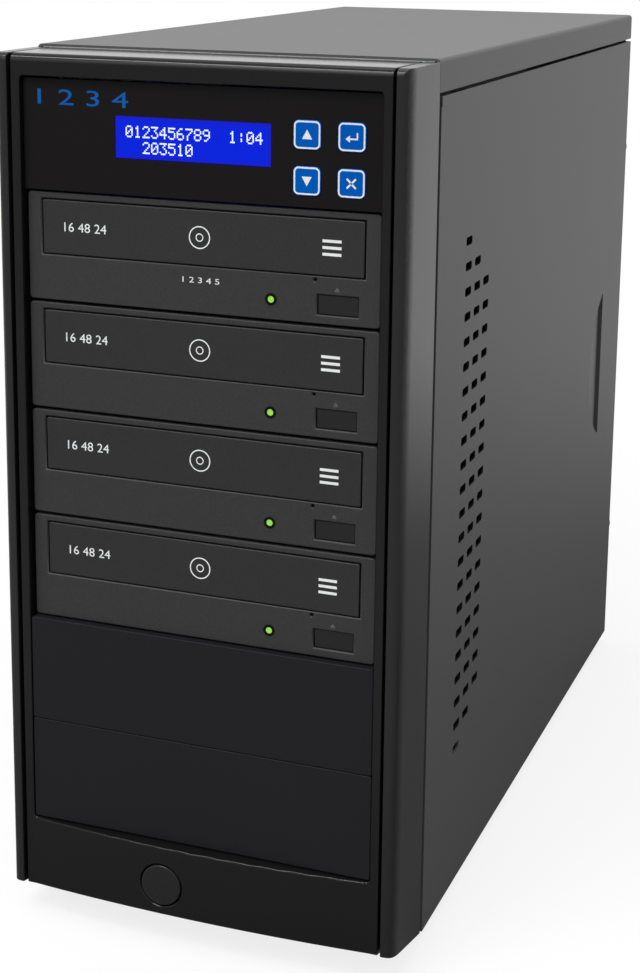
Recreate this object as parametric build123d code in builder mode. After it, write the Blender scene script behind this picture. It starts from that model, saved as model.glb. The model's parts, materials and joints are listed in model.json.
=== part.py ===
"""A tower that copies discs: a control panel, four disc drives and two blank bays in a steel case.

Millimetres, +Z up, X to the right and +Y to the rear. The origin is on the floor under the
middle of the tower. Every piece is modelled where it sits, with the trays shut.
"""

import os
from math import cos, radians, sin, sqrt

from build123d import *

os.makedirs("parts", exist_ok=True)

# ---- Case ---------------------------------------------------------------------------------
case_width = 169.0
case_height = 362.8  # floor to the top of the sheet cover
body_depth = 388.8  # drive faces to the rear of the sheet metal
sheet = 1.0  # thickness of every folded sheet
panel_bottom = 6.0  # floor to the lower edge of the side panels
panel_clearance = 0.4  # between a side panel and the chassis it slides along
cover_flange = 12.7  # depth of the cover's folded sides
cover_bend = 1.8
panel_gap = 1.5  # visible line between the cover's side and a side panel
panel_front_gap = 2.6  # between the bezel and a side panel
panel_notch = 4.0  # relief at the panel's upper front corner
base_upstand = 14.6
cage_overhang = 35.0  # cage behind the drives
cage_flange = 5.4
cage_clearance = 0.3
panel_lip = 7.5  # lower fold of a side panel, hooked under the base
panel_fold = 3.0  # front fold
panel_tab = 10.0  # rear fold, held by the thumb screws
plate_fold = 12.0

# ---- Bays and the plastic bezel -----------------------------------------------------------
bay_count = 7
opening_border = 3.7  # bezel frame beside the opening
opening_top_border = 9.8
opening_bottom = 44.7
opening_slack = 1.0  # spare height of the opening over the bays
opening_corner = 1.5
pillar_width = 5.5
frame_proud = 3.6  # frame ahead of the drive faces
pillar_proud = 1.0  # pillars ahead of the frame
groove = 1.3  # between the frame and each pillar
pillar_round = 7.6  # depth of a pillar's rounded outer corner
pillar_flat = 1.2
bezel_side = 31.0  # drive faces back to the sheet metal
bezel_drop = 1.2  # bezel top under the cover's top
bezel_wall = 3.0
bezel_skin = 2.5
frame_side_wall = 2.0
rim_depth = 12.0
top_round = 3.2
pillar_end_round = 3.0
underside_back = 6.5
underside_front = 14.4
chin_bulge = 4.8
chin_edge = 0.8

# ---- Power button ---------------------------------------------------------------------------
button_x = -13.8
button_z = 28.1
button_radius = 8.7
button_gap = 0.6
button_proud = 0.1
button_travel = 2.0
button_skirt = 9.0
button_guide = 10.0
stem_radius = 3.0
switch_size = 13.0
plunger_radius = 2.0
plunger_length = 2.0
stop_gap = 0.1  # what is left between a pressed button and what it presses

# ---- Disc drives ----------------------------------------------------------------------------
first_drive_bay = 1
drive_count = 4
drive_side_gap = 1.0
drive_gap = 1.2  # between two drives' fronts
drive_bezel_depth = 5.0
drive_corner = 1.5
drive_edge = 0.5
drive_case_inset = 0.2  # case inside the outline of its bezel, at each side
drive_case_drop = 0.7  # the same at the top and the bottom
drive_case_end = 165.0  # drive face to the rear of its case
door_inset = 6.5
door_top_border = 3.0
door_height = 21.2
door_gap = 0.5
door_thickness = 3.0
tray_inset = 0.5  # tray inside the outline of its door, at each side
tray_rise = 3.5  # tray over the door's lower edge
tray_thickness = 5.0
tray_end = 150.0
tray_clearance = 0.3
disc_centre = 75.0
disc_rim = 5.5  # tray beside the disc
disc_recess = 2.2
small_disc_step = 20.0
small_disc_recess = 1.0
laser_window = 36.0
ledge_reach = 8.0
ledge_height = 3.0
turntable_radius = 14.5
turntable_height = 3.7
hub_radius = 7.4
hub_drop = 0.8  # hub under the tray
motor_radius = 12.0
motor_drop = 8.0  # motor under the tray
shaft_radius = 1.5
shaft_clearance = 0.05
shaft_end = 6.0
eject_inset = 16.8  # button's middle from the right edge of the drive's bezel
eject_z = 7.3
eject_width = 16.4
eject_height = 7.8
eject_gap = 0.25
eject_recess = 0.8
eject_end = 9.0
eject_travel = 1.0
eject_switch = 4.0
led_inset = 43.4
led_z = 7.8
led_radius = 1.3
led_gap = 0.2
led_length = 9.0
pinhole_inset = 25.8
pinhole_z = 16.6
pinhole_radius = 0.65

# ---- Control panel --------------------------------------------------------------------------
panel_face = 1.0  # faceplate ahead of the drive faces
faceplate_side_gap = 0.4
faceplate_thickness = 3.0
window_x = -2.4
window_z = 0.5  # above the middle of the bay
window_width = 64.0
window_height = 16.2
display_gap = 0.2
display_body_width = 71.0
display_body_height = 26.0
display_body_depth = 7.0
key_insets = (30.0, 12.6)  # each column's middle from the right edge of the opening
key_rows = (5.3, -11.7)
key_size = 10.9
key_corner = 2.2
key_gap = 0.25
key_proud = 0.3
key_flange = 1.0
key_flange_width = 0.6
key_stem = 2.0
key_travel = 0.5
tact_size = 6.0
tact_height = 3.5
tact_plunger = 0.6
board_thickness = 1.6
display_board_inset = 2.8
display_board_drop = 2.95
bracket_length = 150.0  # drive faces to the rear of the controller's bracket
bracket_side = 30.0
post_radius = 2.5
post_height = 5.0
controller_inset = 10.8
controller_length = 118.0

# ---- Blank covers ---------------------------------------------------------------------------
blank_bays = {"blank_cover_upper": 5, "blank_cover_lower": 6}
blank_face = 2.9  # ahead of the drive faces
blank_gap = 0.3
blank_wall = 2.0
blank_skirt = 10.0
blank_corner = 0.8

# ---- Side panel details -----------------------------------------------------------------------
vent_columns = 3
vent_rows = 22
vent_pitch_y = 13.4
vent_pitch_z = 10.4
vent_first_y = 76.6  # behind the drive faces
vent_top_drop = 61.4  # first row under the panel's top
vent_length = 8.6
vent_height = 3.5
vent_corner = 1.2
grip_rear = 45.8  # straight edge of the pressed finger grip, ahead of the sheet metal's rear
grip_drop = 0.3  # grip's middle under the panel's middle
grip_height = 78.5
grip_width = 26.0
grip_depth = 2.0
thumb_low = 64.0  # screws from the panel's lower and upper edges
thumb_high = 58.6
thumb_head_radius = 5.0
thumb_head_length = 7.0
thumb_shank_radius = 1.9
thumb_shank_length = 7.0
thumb_clearance = 0.1

# ---- Rear: power supply, fans, feet and screws --------------------------------------------------
supply_side_gap = 9.5
supply_height = 86.0
supply_depth = 140.0
supply_screw_inset = 5.5
supply_window_side = 64.0
supply_window_margin = 4.0
supply_fan_x = 25.0
supply_fan_size = 80.0
case_fan_drop = 130.8  # fan's middle under the top of the case
case_fan_size = 92.0
fan_depth = 25.0
fan_corner = 4.0
fan_wall = 2.5
fan_tip_gap = 1.5
fan_hub_radius = 17.0
fan_hub_thickness = 6.0
fan_blades = 7
fan_blade_thickness = 1.6
fan_blade_chord = 17.0
fan_blade_turn = 38.0
fan_rotor_gap = 0.5
fan_hole_inset = 4.75
fan_hole_radius = 2.1
grille_rings = 4
grille_ring_width = 4.6
grille_bar = 2.4
inlet_x = -46.0
inlet_flange_width = 30.0
inlet_flange_height = 62.0
inlet_flange_thickness = 2.0
inlet_body_width = 27.0
inlet_body_height = 57.0
inlet_body_depth = 18.0
inlet_body_gap = 0.2
socket_drop = 15.0  # socket's middle under the module's middle
socket_width = 24.0
socket_height = 16.4
socket_depth = 15.0
socket_corner = 3.0
pin_width = 2.0
pin_height = 4.0
pin_length = 10.5
pin_spread = 7.0
pin_rise = 2.0
rocker_rise = 15.0
rocker_width = 12.4
rocker_height = 18.4
rocker_pocket_width = 13.4
rocker_pocket_height = 20.0
rocker_pocket_depth = 11.0
rocker_depth = 3.2
rocker_pin_radius = 1.25
rocker_pin_reach = 1.6
rocker_pin_depth = 3.6
rocker_tilt = 8.0  # either way from level; at rest the upper end is pressed in
foot_radius = 9.0
foot_inset = 22.5
foot_front = 26.0  # behind the sheet metal's front edge
foot_rear = 32.0
foot_edge = 1.0
screw_head_radius = 3.0
screw_head_height = 2.0
screw_shank_radius = 1.45
screw_length = 4.0
screw_hole_radius = 1.5
screw_clearance_radius = 1.8
drive_screw_y = (52.0, 131.0)
drive_screw_z = 10.0

# ---- Places worked out from the sizes above -----------------------------------------------------
overall_depth = chin_bulge + frame_proud + body_depth + thumb_head_length
face_y = -overall_depth / 2 + chin_bulge + frame_proud  # plane of the drive faces
frame_y = face_y - frame_proud
pillar_y = frame_y - pillar_proud
joint_y = face_y + bezel_side  # where plastic meets sheet metal
rear_y = face_y + body_depth
panel_x = case_width / 2
panel_inner_x = panel_x - sheet
cover_inner_z = case_height - sheet
bezel_top = case_height - bezel_drop
panel_top = case_height - cover_flange - panel_gap
vent_top_z = panel_top - vent_top_drop
grip_y = body_depth - grip_rear
grip_z = (panel_bottom + panel_top) / 2 - grip_drop
thumb_z = (panel_bottom + thumb_low, panel_top - thumb_high)
foot_x = panel_x - foot_inset
supply_width = case_width - 2 * supply_side_gap
case_fan_z = case_height - case_fan_drop
base_bottom = panel_bottom + sheet + panel_clearance
base_top = base_bottom + sheet
upstand_outer = panel_inner_x - panel_clearance
plate_x = upstand_outer - sheet  # half width of the front and rear plates
pillar_inner_x = panel_x - pillar_width
frame_width = 2 * (pillar_inner_x - groove)
opening_width = frame_width - 2 * opening_border
opening_top = case_height - opening_top_border
opening_height = opening_top - opening_bottom
opening_middle = (opening_bottom + opening_top) / 2
bay_pitch = (opening_height - opening_slack) / bay_count
drive_bezel_width = opening_width - 2 * drive_side_gap
drive_height = bay_pitch - drive_gap
drive_case_width = drive_bezel_width - 2 * drive_case_inset
drive_case_height = drive_height - 2 * drive_case_drop
door_width = drive_bezel_width - 2 * door_inset
door_bottom = drive_height - door_top_border - door_height
tray_width = door_width - 2 * tray_inset
tray_bottom = door_bottom + tray_rise
disc_radius = tray_width / 2 - disc_rim
small_disc_radius = disc_radius - small_disc_step
hub_top = tray_bottom - hub_drop
motor_top = tray_bottom - motor_drop
eject_x = drive_bezel_width / 2 - eject_inset
led_x = drive_bezel_width / 2 - led_inset
pinhole_x = drive_bezel_width / 2 - pinhole_inset
key_columns = tuple(opening_width / 2 - inset for inset in key_insets)
display_board_width = drive_case_width - 2 * display_board_inset
display_board_height = bay_pitch - 2 * display_board_drop
controller_width = drive_case_width - 2 * controller_inset
cage_inner_x = drive_case_width / 2 + cage_clearance
cage_outer_x = cage_inner_x + sheet
cage_rear_y = face_y + drive_case_end + cage_overhang
rear_plate_outer = rear_y - sheet - panel_clearance
rear_plate_inner = rear_plate_outer - sheet
thumb_x = panel_inner_x - panel_tab / 2
supply_z = base_top + supply_height / 2
supply_front_y = rear_plate_inner - supply_depth
faceplate_y = face_y - panel_face
faceplate_back = faceplate_y + faceplate_thickness
display_board_y = faceplate_back + display_body_depth


def bay_middle(bay):
    """Height of a bay's middle; bay 0 is the top one."""
    return opening_middle + bay_pitch * ((bay_count - 1) / 2 - bay)


def drive_floor(bay):
    """Height of the lower edge of the drive in a bay."""
    return bay_middle(bay) - drive_height / 2


def facing(y):
    """Upright plane at depth y, seen from the front: its x is X and its y is Z."""
    return Plane.XZ.offset(-y)


def mirrored(side, low, high):
    """The span from low to high on the right (side 1) or left (side -1) of the middle."""
    return tuple(sorted((side * low, side * high)))


def block(x, y, z, mode=Mode.ADD):
    """A box over the spans x, y and z, in the part being built."""
    spans = (x, y, z)
    with Locations(tuple((low + high) / 2 for low, high in spans)):
        Box(*(high - low for low, high in spans), mode=mode)


def rod(y, radius, x, z, mode=Mode.ADD):
    """A cylinder along Y over the span y, in the part being built."""
    with Locations(Location((x, (y[0] + y[1]) / 2, z), (90, 0, 0))):
        Cylinder(radius, y[1] - y[0], mode=mode)


def keep(piece, name):
    """Labels a finished piece and writes it under its own name."""
    piece.part.label = name
    export_step(piece.part, f"parts/{name}.step")


def bezel_side_outline(front, top_radius):
    """Side view of the bezel from a front plane to the sheet metal, with its raised underside."""
    rise = (underside_front - underside_back) / (bezel_side + frame_proud)
    front_low = underside_back + rise * (joint_y - front)
    with BuildSketch(Plane.YZ) as outline:
        with BuildLine():
            Polyline(
                (joint_y, underside_back),
                (front, front_low),
                (front, bezel_top),
                (joint_y, bezel_top),
                close=True,
            )
        make_face()
        front_corners = vertices().group_by(Axis.X)[0]
        fillet(front_corners.sort_by(Axis.Y)[-1], top_radius)
    return outline.sketch


def chin_segment(height, back_y, inset):
    """Plan of the bulging chin at a height: a shallow arc ahead of back_y, drawn in by inset."""
    half = opening_width / 2
    radius = (half**2 + chin_bulge**2) / (2 * chin_bulge)
    centre_y = frame_y - chin_bulge + radius
    reach = sqrt((radius - inset) ** 2 - (centre_y - back_y) ** 2)
    with BuildSketch(Plane.XY.offset(height)) as segment:
        with BuildLine():
            ThreePointArc((-reach, back_y), (0, centre_y - radius + inset), (reach, back_y))
            Line((reach, back_y), (-reach, back_y))
        make_face()
    return segment.sketch


# ---- Bezel: centre frame and the two pillars ------------------------------------------------------
def make_bezel_frame():
    """The centre moulding round the bays, with its bulging chin."""
    inner_x = frame_width / 2 - frame_side_wall
    back_wall_y = frame_y + bezel_wall
    rise = (underside_front - underside_back) / (bezel_side + frame_proud)
    front_limit = frame_y - 2 * chin_bulge
    hole_radius = button_radius + button_gap
    with BuildPart() as bezel_frame:
        extrude(bezel_side_outline(frame_y, top_round), amount=frame_width / 2, both=True)
        extrude(chin_segment(opening_bottom, frame_y, 0), amount=-opening_bottom)
        with BuildSketch(Plane.YZ):
            with BuildLine():
                Polyline(
                    (joint_y, underside_back),
                    (front_limit, underside_back + rise * (joint_y - front_limit)),
                    (front_limit, 0),
                    (joint_y, 0),
                    close=True,
                )
            make_face()
        extrude(amount=frame_width, both=True, mode=Mode.SUBTRACT)
        chin_ledge = edges().filter_by(GeomType.CIRCLE).filter_by_position(
            Axis.Z, opening_bottom - chin_edge, opening_bottom + chin_edge
        )
        fillet(chin_ledge, chin_edge)
        with BuildSketch(Plane.YZ):
            with BuildLine():
                Polyline(
                    (joint_y, underside_back + bezel_skin),
                    (back_wall_y, underside_back + bezel_skin + rise * (joint_y - back_wall_y)),
                    (back_wall_y, bezel_top - bezel_skin),
                    (joint_y, bezel_top - bezel_skin),
                    close=True,
                )
            make_face()
        extrude(amount=inner_x, both=True, mode=Mode.SUBTRACT)
        extrude(
            chin_segment(opening_bottom - bezel_skin, back_wall_y, bezel_wall),
            amount=-(opening_bottom - underside_front - 3 * bezel_skin),
            mode=Mode.SUBTRACT,
        )
        with BuildSketch(facing(frame_y)):
            with Locations((0, opening_middle)):
                Rectangle(2 * inner_x, opening_height + 2 * frame_side_wall)
        extrude(amount=-rim_depth)
        rod((back_wall_y, frame_y + button_guide), hole_radius + bezel_skin, button_x, button_z)
        with BuildSketch(facing(frame_y - chin_bulge)):
            with Locations((0, opening_middle)):
                RectangleRounded(opening_width, opening_height, opening_corner)
        extrude(amount=-(chin_bulge + rim_depth), mode=Mode.SUBTRACT)
        rod(
            (frame_y - chin_bulge, frame_y + button_guide), hole_radius, button_x, button_z,
            Mode.SUBTRACT,
        )
    keep(bezel_frame, "bezel_frame")


def make_pillar(name, side):
    """A side moulding of the bezel, rounded at its outer front corner and hollow from behind."""
    inner = side * pillar_inner_x
    flat_end = side * (pillar_inner_x + pillar_flat)
    outer = side * panel_x
    middle = side * (pillar_inner_x + panel_x) / 2
    with BuildPart() as pillar:
        with BuildSketch():
            with BuildLine():
                Line((inner, joint_y), (inner, pillar_y))
                Line((inner, pillar_y), (flat_end, pillar_y))
                Spline(
                    (flat_end, pillar_y), (outer, pillar_y + pillar_round),
                    tangents=((side, 0), (0, 1)),
                )
                Line((outer, pillar_y + pillar_round), (outer, joint_y))
                Line((outer, joint_y), (inner, joint_y))
            make_face()
        extrude(amount=case_height)
        extrude(
            bezel_side_outline(pillar_y, pillar_end_round),
            amount=case_width,
            both=True,
            mode=Mode.INTERSECT,
        )
        channel = (panel_x - pillar_inner_x) / 2 - bezel_wall / 2
        block(
            (middle - channel, middle + channel),
            (pillar_y + pillar_round, joint_y),
            (underside_front + bezel_skin, bezel_top - bezel_skin),
            Mode.SUBTRACT,
        )
    keep(pillar, name)


def make_power_button():
    """The round button in the chin, and the switch behind it."""
    chin_at_button = chin_bulge * (1 - (2 * button_x / opening_width) ** 2)
    cap_y = frame_y - chin_at_button - button_proud
    skirt_y = cap_y + button_skirt
    switch_y = joint_y - switch_size
    stem_y = switch_y - plunger_length - button_travel - stop_gap
    with BuildPart() as power_button:
        rod((cap_y, skirt_y), button_radius, button_x, button_z)
        fillet(edges().group_by(Axis.Y)[0], 0.6)
        rod((skirt_y, stem_y), stem_radius, button_x, button_z)
    keep(power_button, "power_button")
    half = switch_size / 2
    with BuildPart() as power_switch:
        block(
            (button_x - half, button_x + half), (switch_y, joint_y), (button_z - half, button_z + half)
        )
        rod((switch_y - plunger_length, switch_y), plunger_radius, button_x, button_z)
    keep(power_switch, "power_switch")


# ---- Sheet metal ------------------------------------------------------------------------------------
def make_base_pan():
    """The floor of the chassis, with a fold up each side."""
    with BuildPart() as base_pan:
        block((-upstand_outer, upstand_outer), (joint_y, rear_plate_outer), (base_bottom, base_top))
        for side in (-1, 1):
            block(
                mirrored(side, plate_x, upstand_outer),
                (joint_y, rear_plate_outer),
                (base_bottom, base_bottom + base_upstand),
            )
    keep(base_pan, "base_pan")


def make_front_plate():
    """The chassis plate behind the bezel, open for the bays."""
    with BuildPart() as front_plate:
        block((-plate_x, plate_x), (joint_y, joint_y + sheet), (base_top, cover_inner_z))
        block(
            (-plate_x, plate_x),
            (joint_y, joint_y + plate_fold),
            (cover_inner_z - sheet, cover_inner_z),
        )
        with BuildSketch(facing(joint_y)):
            with Locations((0, opening_middle)):
                Rectangle(2 * cage_outer_x + sheet, opening_height + sheet)
            with Locations((button_x, button_z)):
                Circle(switch_size / 3)
        extrude(amount=-sheet, mode=Mode.SUBTRACT)
    keep(front_plate, "front_plate")


def make_drive_cage(name, side):
    """One side of the drive cage, standing on the base and folded out at both ends."""
    with BuildPart() as cage:
        block(
            mirrored(side, cage_inner_x, cage_outer_x),
            (joint_y + sheet, cage_rear_y),
            (base_top, opening_top),
        )
        for fold_y in (joint_y + sheet, cage_rear_y - sheet):
            block(
                mirrored(side, cage_outer_x, cage_outer_x + cage_flange),
                (fold_y, fold_y + sheet),
                (base_bottom + base_upstand + sheet, panel_top - 2 * panel_fold),
            )
        with BuildSketch(Plane.YZ.offset(side * cage_inner_x)):
            for bay in range(first_drive_bay + drive_count):
                for screw_y in drive_screw_y:
                    with Locations((face_y + screw_y, drive_floor(bay) + drive_screw_z)):
                        Circle(screw_clearance_radius)
        extrude(amount=side * sheet, mode=Mode.SUBTRACT)
    keep(cage, name)


def make_top_cover():
    """The folded cover that closes the top and the upper edge of both sides."""
    with BuildPart() as top_cover:
        with BuildSketch(facing(joint_y)):
            with Locations((0, case_height - cover_flange / 2)):
                outline = Rectangle(case_width, cover_flange)
            fillet(outline.vertices().group_by(Axis.Y)[-1], cover_bend)
            with BuildSketch(mode=Mode.SUBTRACT):
                with Locations((0, case_height - sheet - cover_flange / 2)):
                    hollow = Rectangle(case_width - 2 * sheet, cover_flange)
                fillet(hollow.vertices().group_by(Axis.Y)[-1], cover_bend - sheet)
        extrude(amount=joint_y - rear_y)
    keep(top_cover, "top_cover")


def grille_slots(x, z, outer_radius, inner_radius):
    """Ring-shaped slots with four spokes, in the sketch being built."""
    step = (outer_radius - inner_radius) / grille_rings
    with Locations((x, z)):
        for ring in range(grille_rings):
            Circle(outer_radius - ring * step)
            Circle(outer_radius - ring * step - grille_ring_width, mode=Mode.SUBTRACT)
        for turn in (45, 135):
            Rectangle(2 * outer_radius, grille_bar, rotation=turn, mode=Mode.SUBTRACT)


def fan_hole_offset(size):
    """How far a fan's screw holes lie from its middle, along X and Z."""
    return size / 2 - fan_hole_inset


def supply_screws():
    """X and Z of the four screws that hold the power supply."""
    across = supply_width / 2 - supply_screw_inset
    up = supply_height / 2 - supply_screw_inset
    return [(sx * across, supply_z + sz * up) for sx in (-1, 1) for sz in (-1, 1)]


def case_fan_screws():
    """X and Z of the four screws that hold the case fan."""
    offset = fan_hole_offset(case_fan_size)
    return [(sx * offset, case_fan_z + sz * offset) for sx in (-1, 1) for sz in (-1, 1)]


def make_rear_panel():
    """The rear plate, with a window for the power supply and a stamped fan grille."""
    with BuildPart() as rear_panel:
        block((-plate_x, plate_x), (rear_plate_inner, rear_plate_outer), (base_top, cover_inner_z))
        block(
            (-plate_x, plate_x),
            (rear_plate_outer - plate_fold, rear_plate_outer),
            (cover_inner_z - sheet, cover_inner_z),
        )
        with BuildSketch(facing(rear_plate_inner)):
            with Locations((0, supply_z)):
                Rectangle(2 * supply_window_side, supply_height - 2 * supply_window_margin)
        extrude(amount=-sheet, mode=Mode.SUBTRACT)
        with BuildSketch(facing(rear_plate_inner)):
            with Locations(*supply_screws(), *case_fan_screws()):
                Circle(screw_clearance_radius)
        extrude(amount=-sheet, mode=Mode.SUBTRACT)
        with BuildSketch(facing(rear_plate_inner)):
            with Locations(*[(side * thumb_x, z) for side in (-1, 1) for z in thumb_z]):
                Circle(thumb_shank_radius + thumb_clearance)
        extrude(amount=-sheet, mode=Mode.SUBTRACT)
        with BuildSketch(facing(rear_plate_inner)):
            grille_slots(0, case_fan_z, case_fan_size / 2 - fan_wall, fan_hub_radius)
        extrude(amount=-sheet, mode=Mode.SUBTRACT)
    keep(rear_panel, "rear_panel")


def grip_shape(side, skin):
    """The pressed finger grip as a solid: a half moon that deepens to its straight rear edge."""
    radius = ((grip_height / 2) ** 2 + grip_width**2) / (2 * grip_width)
    edge_y = face_y + grip_y + skin
    tip_y = face_y + grip_y - grip_width
    with BuildPart() as grip:
        with BuildSketch(Plane.YZ.offset(side * panel_x)):
            with Locations((tip_y + radius, grip_z)):
                Circle(radius + skin)
            with Locations((edge_y + radius, grip_z)):
                Rectangle(2 * radius, 4 * radius, mode=Mode.SUBTRACT)
        extrude(amount=-side * (grip_depth + 2 * sheet))
        with BuildSketch(Plane.XY.offset(grip_z)):
            with BuildLine():
                Polyline(
                    (side * case_width, tip_y - skin),
                    (side * (panel_x - skin), tip_y - skin),
                    (side * (panel_x - skin - grip_depth), edge_y),
                    (side * case_width, edge_y),
                    close=True,
                )
            make_face()
        extrude(amount=grip_height, both=True, mode=Mode.INTERSECT)
    return grip.part


def vent_places():
    """Y and Z of every vent hole: each column behind the first is shorter at both ends."""
    places = []
    for column in range(vent_columns):
        first_row = (0, 1, 2)[column]
        for row in range(first_row, vent_rows - first_row):
            places.append(
                (face_y + vent_first_y + column * vent_pitch_y, vent_top_z - row * vent_pitch_z)
            )
    return places


def make_side_panel(name, side):
    """A removable side panel: vents, a finger grip, folded edges and a tab for its screws."""
    front = joint_y + panel_front_gap
    fold_y = front + sheet
    pressed_out = grip_shape(side, sheet)
    pressed_in = grip_shape(side, 0)
    with BuildPart() as panel:
        block(mirrored(side, panel_inner_x, panel_x), (front, rear_y), (panel_bottom, panel_top))
        block(
            mirrored(side, panel_inner_x - panel_lip, panel_inner_x),
            (front, rear_y),
            (panel_bottom, panel_bottom + sheet),
        )
        block(
            mirrored(side, panel_inner_x - panel_fold, panel_inner_x),
            (fold_y, fold_y + sheet),
            (base_bottom + base_upstand + sheet, panel_top - panel_notch),
        )
        block(
            mirrored(side, panel_inner_x - panel_tab, panel_inner_x),
            (rear_y - sheet, rear_y),
            (base_top + sheet, panel_top),
        )
        add(pressed_out)
        add(pressed_in, mode=Mode.SUBTRACT)
        block(
            mirrored(side, panel_inner_x, panel_x),
            (front, front + sheet),
            (panel_top - panel_notch, panel_top),
            Mode.SUBTRACT,
        )
        with BuildSketch(Plane.YZ.offset(side * panel_inner_x)):
            with Locations(*vent_places()):
                RectangleRounded(vent_length, vent_height, vent_corner)
        extrude(amount=side * sheet, mode=Mode.SUBTRACT)
        for z in thumb_z:
            rod(
                (rear_y - sheet, rear_y), thumb_shank_radius + thumb_clearance, side * thumb_x, z,
                Mode.SUBTRACT,
            )
    keep(panel, name)


def make_thumb_screws(name, side):
    """The captive thumb screws of one side panel."""
    with BuildPart() as thumb_screws:
        for z in thumb_z:
            rod((rear_y, rear_y + thumb_head_length), thumb_head_radius, side * thumb_x, z)
            rod((rear_y - thumb_shank_length, rear_y), thumb_shank_radius, side * thumb_x, z)
        head_rims = edges().filter_by(GeomType.CIRCLE).group_by(Axis.Y)[-1]
        chamfer(head_rims, 0.6)
    keep(thumb_screws, name)


# ---- Disc drives --------------------------------------------------------------------------------------
def make_drive_case(number, floor):
    """The steel box of a drive, with tray ledges, the disc motor and the eject switch."""
    half = drive_case_width / 2
    low = floor + (drive_height - drive_case_height) / 2
    high = low + drive_case_height
    front = face_y + drive_bezel_depth
    rear = face_y + drive_case_end
    ledge_top = floor + tray_bottom - tray_clearance
    eject_end_y = face_y + eject_end + eject_travel + stop_gap
    with BuildPart() as drive_case:
        block((-half, half), (front, rear), (low, high))
        block(
            (sheet - half, half - sheet), (front, rear - sheet), (low + sheet, high - sheet),
            Mode.SUBTRACT,
        )
        for side in (-1, 1):
            block(
                mirrored(side, half - sheet - ledge_reach, half - sheet),
                (front + drive_bezel_depth, rear - sheet),
                (ledge_top - ledge_height, ledge_top),
            )
        with BuildSketch(Plane.XY.offset(low + sheet)):
            with Locations((0, face_y + disc_centre)):
                Circle(motor_radius)
                Circle(shaft_radius + shaft_clearance, mode=Mode.SUBTRACT)
        extrude(amount=floor + motor_top - low - sheet)
        block(
            (eject_x - eject_height, eject_x + eject_height),
            (eject_end_y, eject_end_y + eject_switch),
            (low + sheet, floor + eject_z + eject_height / 2),
        )
        for side in (-1, 1):
            with BuildSketch(Plane.YZ.offset(side * half)):
                with Locations(*[(face_y + y, floor + drive_screw_z) for y in drive_screw_y]):
                    Circle(screw_hole_radius)
            extrude(amount=-side * sheet, mode=Mode.SUBTRACT)
    keep(drive_case, f"drive_{number}_case")


def make_drive_bezel(number, floor):
    """The plastic front of a drive, open for the tray door, button, light and pinhole."""
    middle = floor + drive_height / 2
    with BuildPart() as drive_bezel:
        with BuildSketch(facing(face_y)):
            with Locations((0, middle)):
                RectangleRounded(drive_bezel_width, drive_height, drive_corner)
        extrude(amount=-drive_bezel_depth)
        fillet(faces().sort_by(Axis.Y)[0].edges(), drive_edge)
        with BuildSketch(facing(face_y)):
            with Locations((0, floor + door_bottom + door_height / 2)):
                Rectangle(door_width + 2 * door_gap, door_height + 2 * door_gap)
            with Locations((eject_x, floor + eject_z)):
                Rectangle(eject_width, eject_height)
            with Locations((led_x, floor + led_z)):
                Circle(led_radius + led_gap)
            with Locations((pinhole_x, floor + pinhole_z)):
                Circle(pinhole_radius)
        extrude(amount=-drive_bezel_depth, mode=Mode.SUBTRACT)
    keep(drive_bezel, f"drive_{number}_bezel")


def make_tray(number, floor):
    """The sliding tray with its disc well, and the door on its front edge."""
    tray_low = floor + tray_bottom
    tray_high = tray_low + tray_thickness
    front = face_y + door_thickness
    centre_y = face_y + disc_centre
    with BuildPart() as tray:
        block((-tray_width / 2, tray_width / 2), (front, face_y + tray_end), (tray_low, tray_high))
        with BuildSketch(Plane.XY.offset(tray_high)):
            with Locations((0, centre_y)):
                Circle(disc_radius)
        extrude(amount=-disc_recess, mode=Mode.SUBTRACT)
        with BuildSketch(Plane.XY.offset(tray_high - disc_recess)):
            with Locations((0, centre_y)):
                Circle(small_disc_radius)
        extrude(amount=-small_disc_recess, mode=Mode.SUBTRACT)
        with BuildSketch(Plane.XY.offset(tray_low)):
            with Locations((0, centre_y)):
                Circle(laser_window / 2)
            with Locations((0, centre_y + small_disc_radius / 2)):
                Rectangle(laser_window, small_disc_radius)
        extrude(amount=tray_thickness, mode=Mode.SUBTRACT)
    keep(tray, f"drive_{number}_tray")
    with BuildPart() as tray_front:
        with BuildSketch(facing(face_y)):
            with Locations((0, floor + door_bottom + door_height / 2)):
                Rectangle(door_width, door_height)
        extrude(amount=-door_thickness)
        fillet(faces().sort_by(Axis.Y)[0].edges(), drive_edge)
    keep(tray_front, f"drive_{number}_tray_front")


def make_eject_button(number, floor):
    """The eject button, with a flange that keeps it behind the drive's bezel."""
    width = eject_width - 2 * eject_gap
    height = eject_height - 2 * eject_gap
    button_y = face_y + eject_recess
    flange_y = face_y + drive_bezel_depth + eject_gap
    with BuildPart() as eject_button:
        with BuildSketch(facing(button_y)):
            with Locations((eject_x, floor + eject_z)):
                Rectangle(width, height)
        extrude(amount=button_y - flange_y)
        fillet(faces().sort_by(Axis.Y)[0].edges(), 0.3)
        block(
            (eject_x - eject_width / 2 - eject_gap, eject_x + eject_width / 2 + eject_gap),
            (flange_y, flange_y + sheet),
            (floor + eject_z - eject_height / 2 - eject_gap, floor + eject_z + eject_height / 2 + eject_gap),
        )
        rod((flange_y + sheet, face_y + eject_end), key_stem, eject_x, floor + eject_z)
    keep(eject_button, f"drive_{number}_eject_button")


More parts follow.
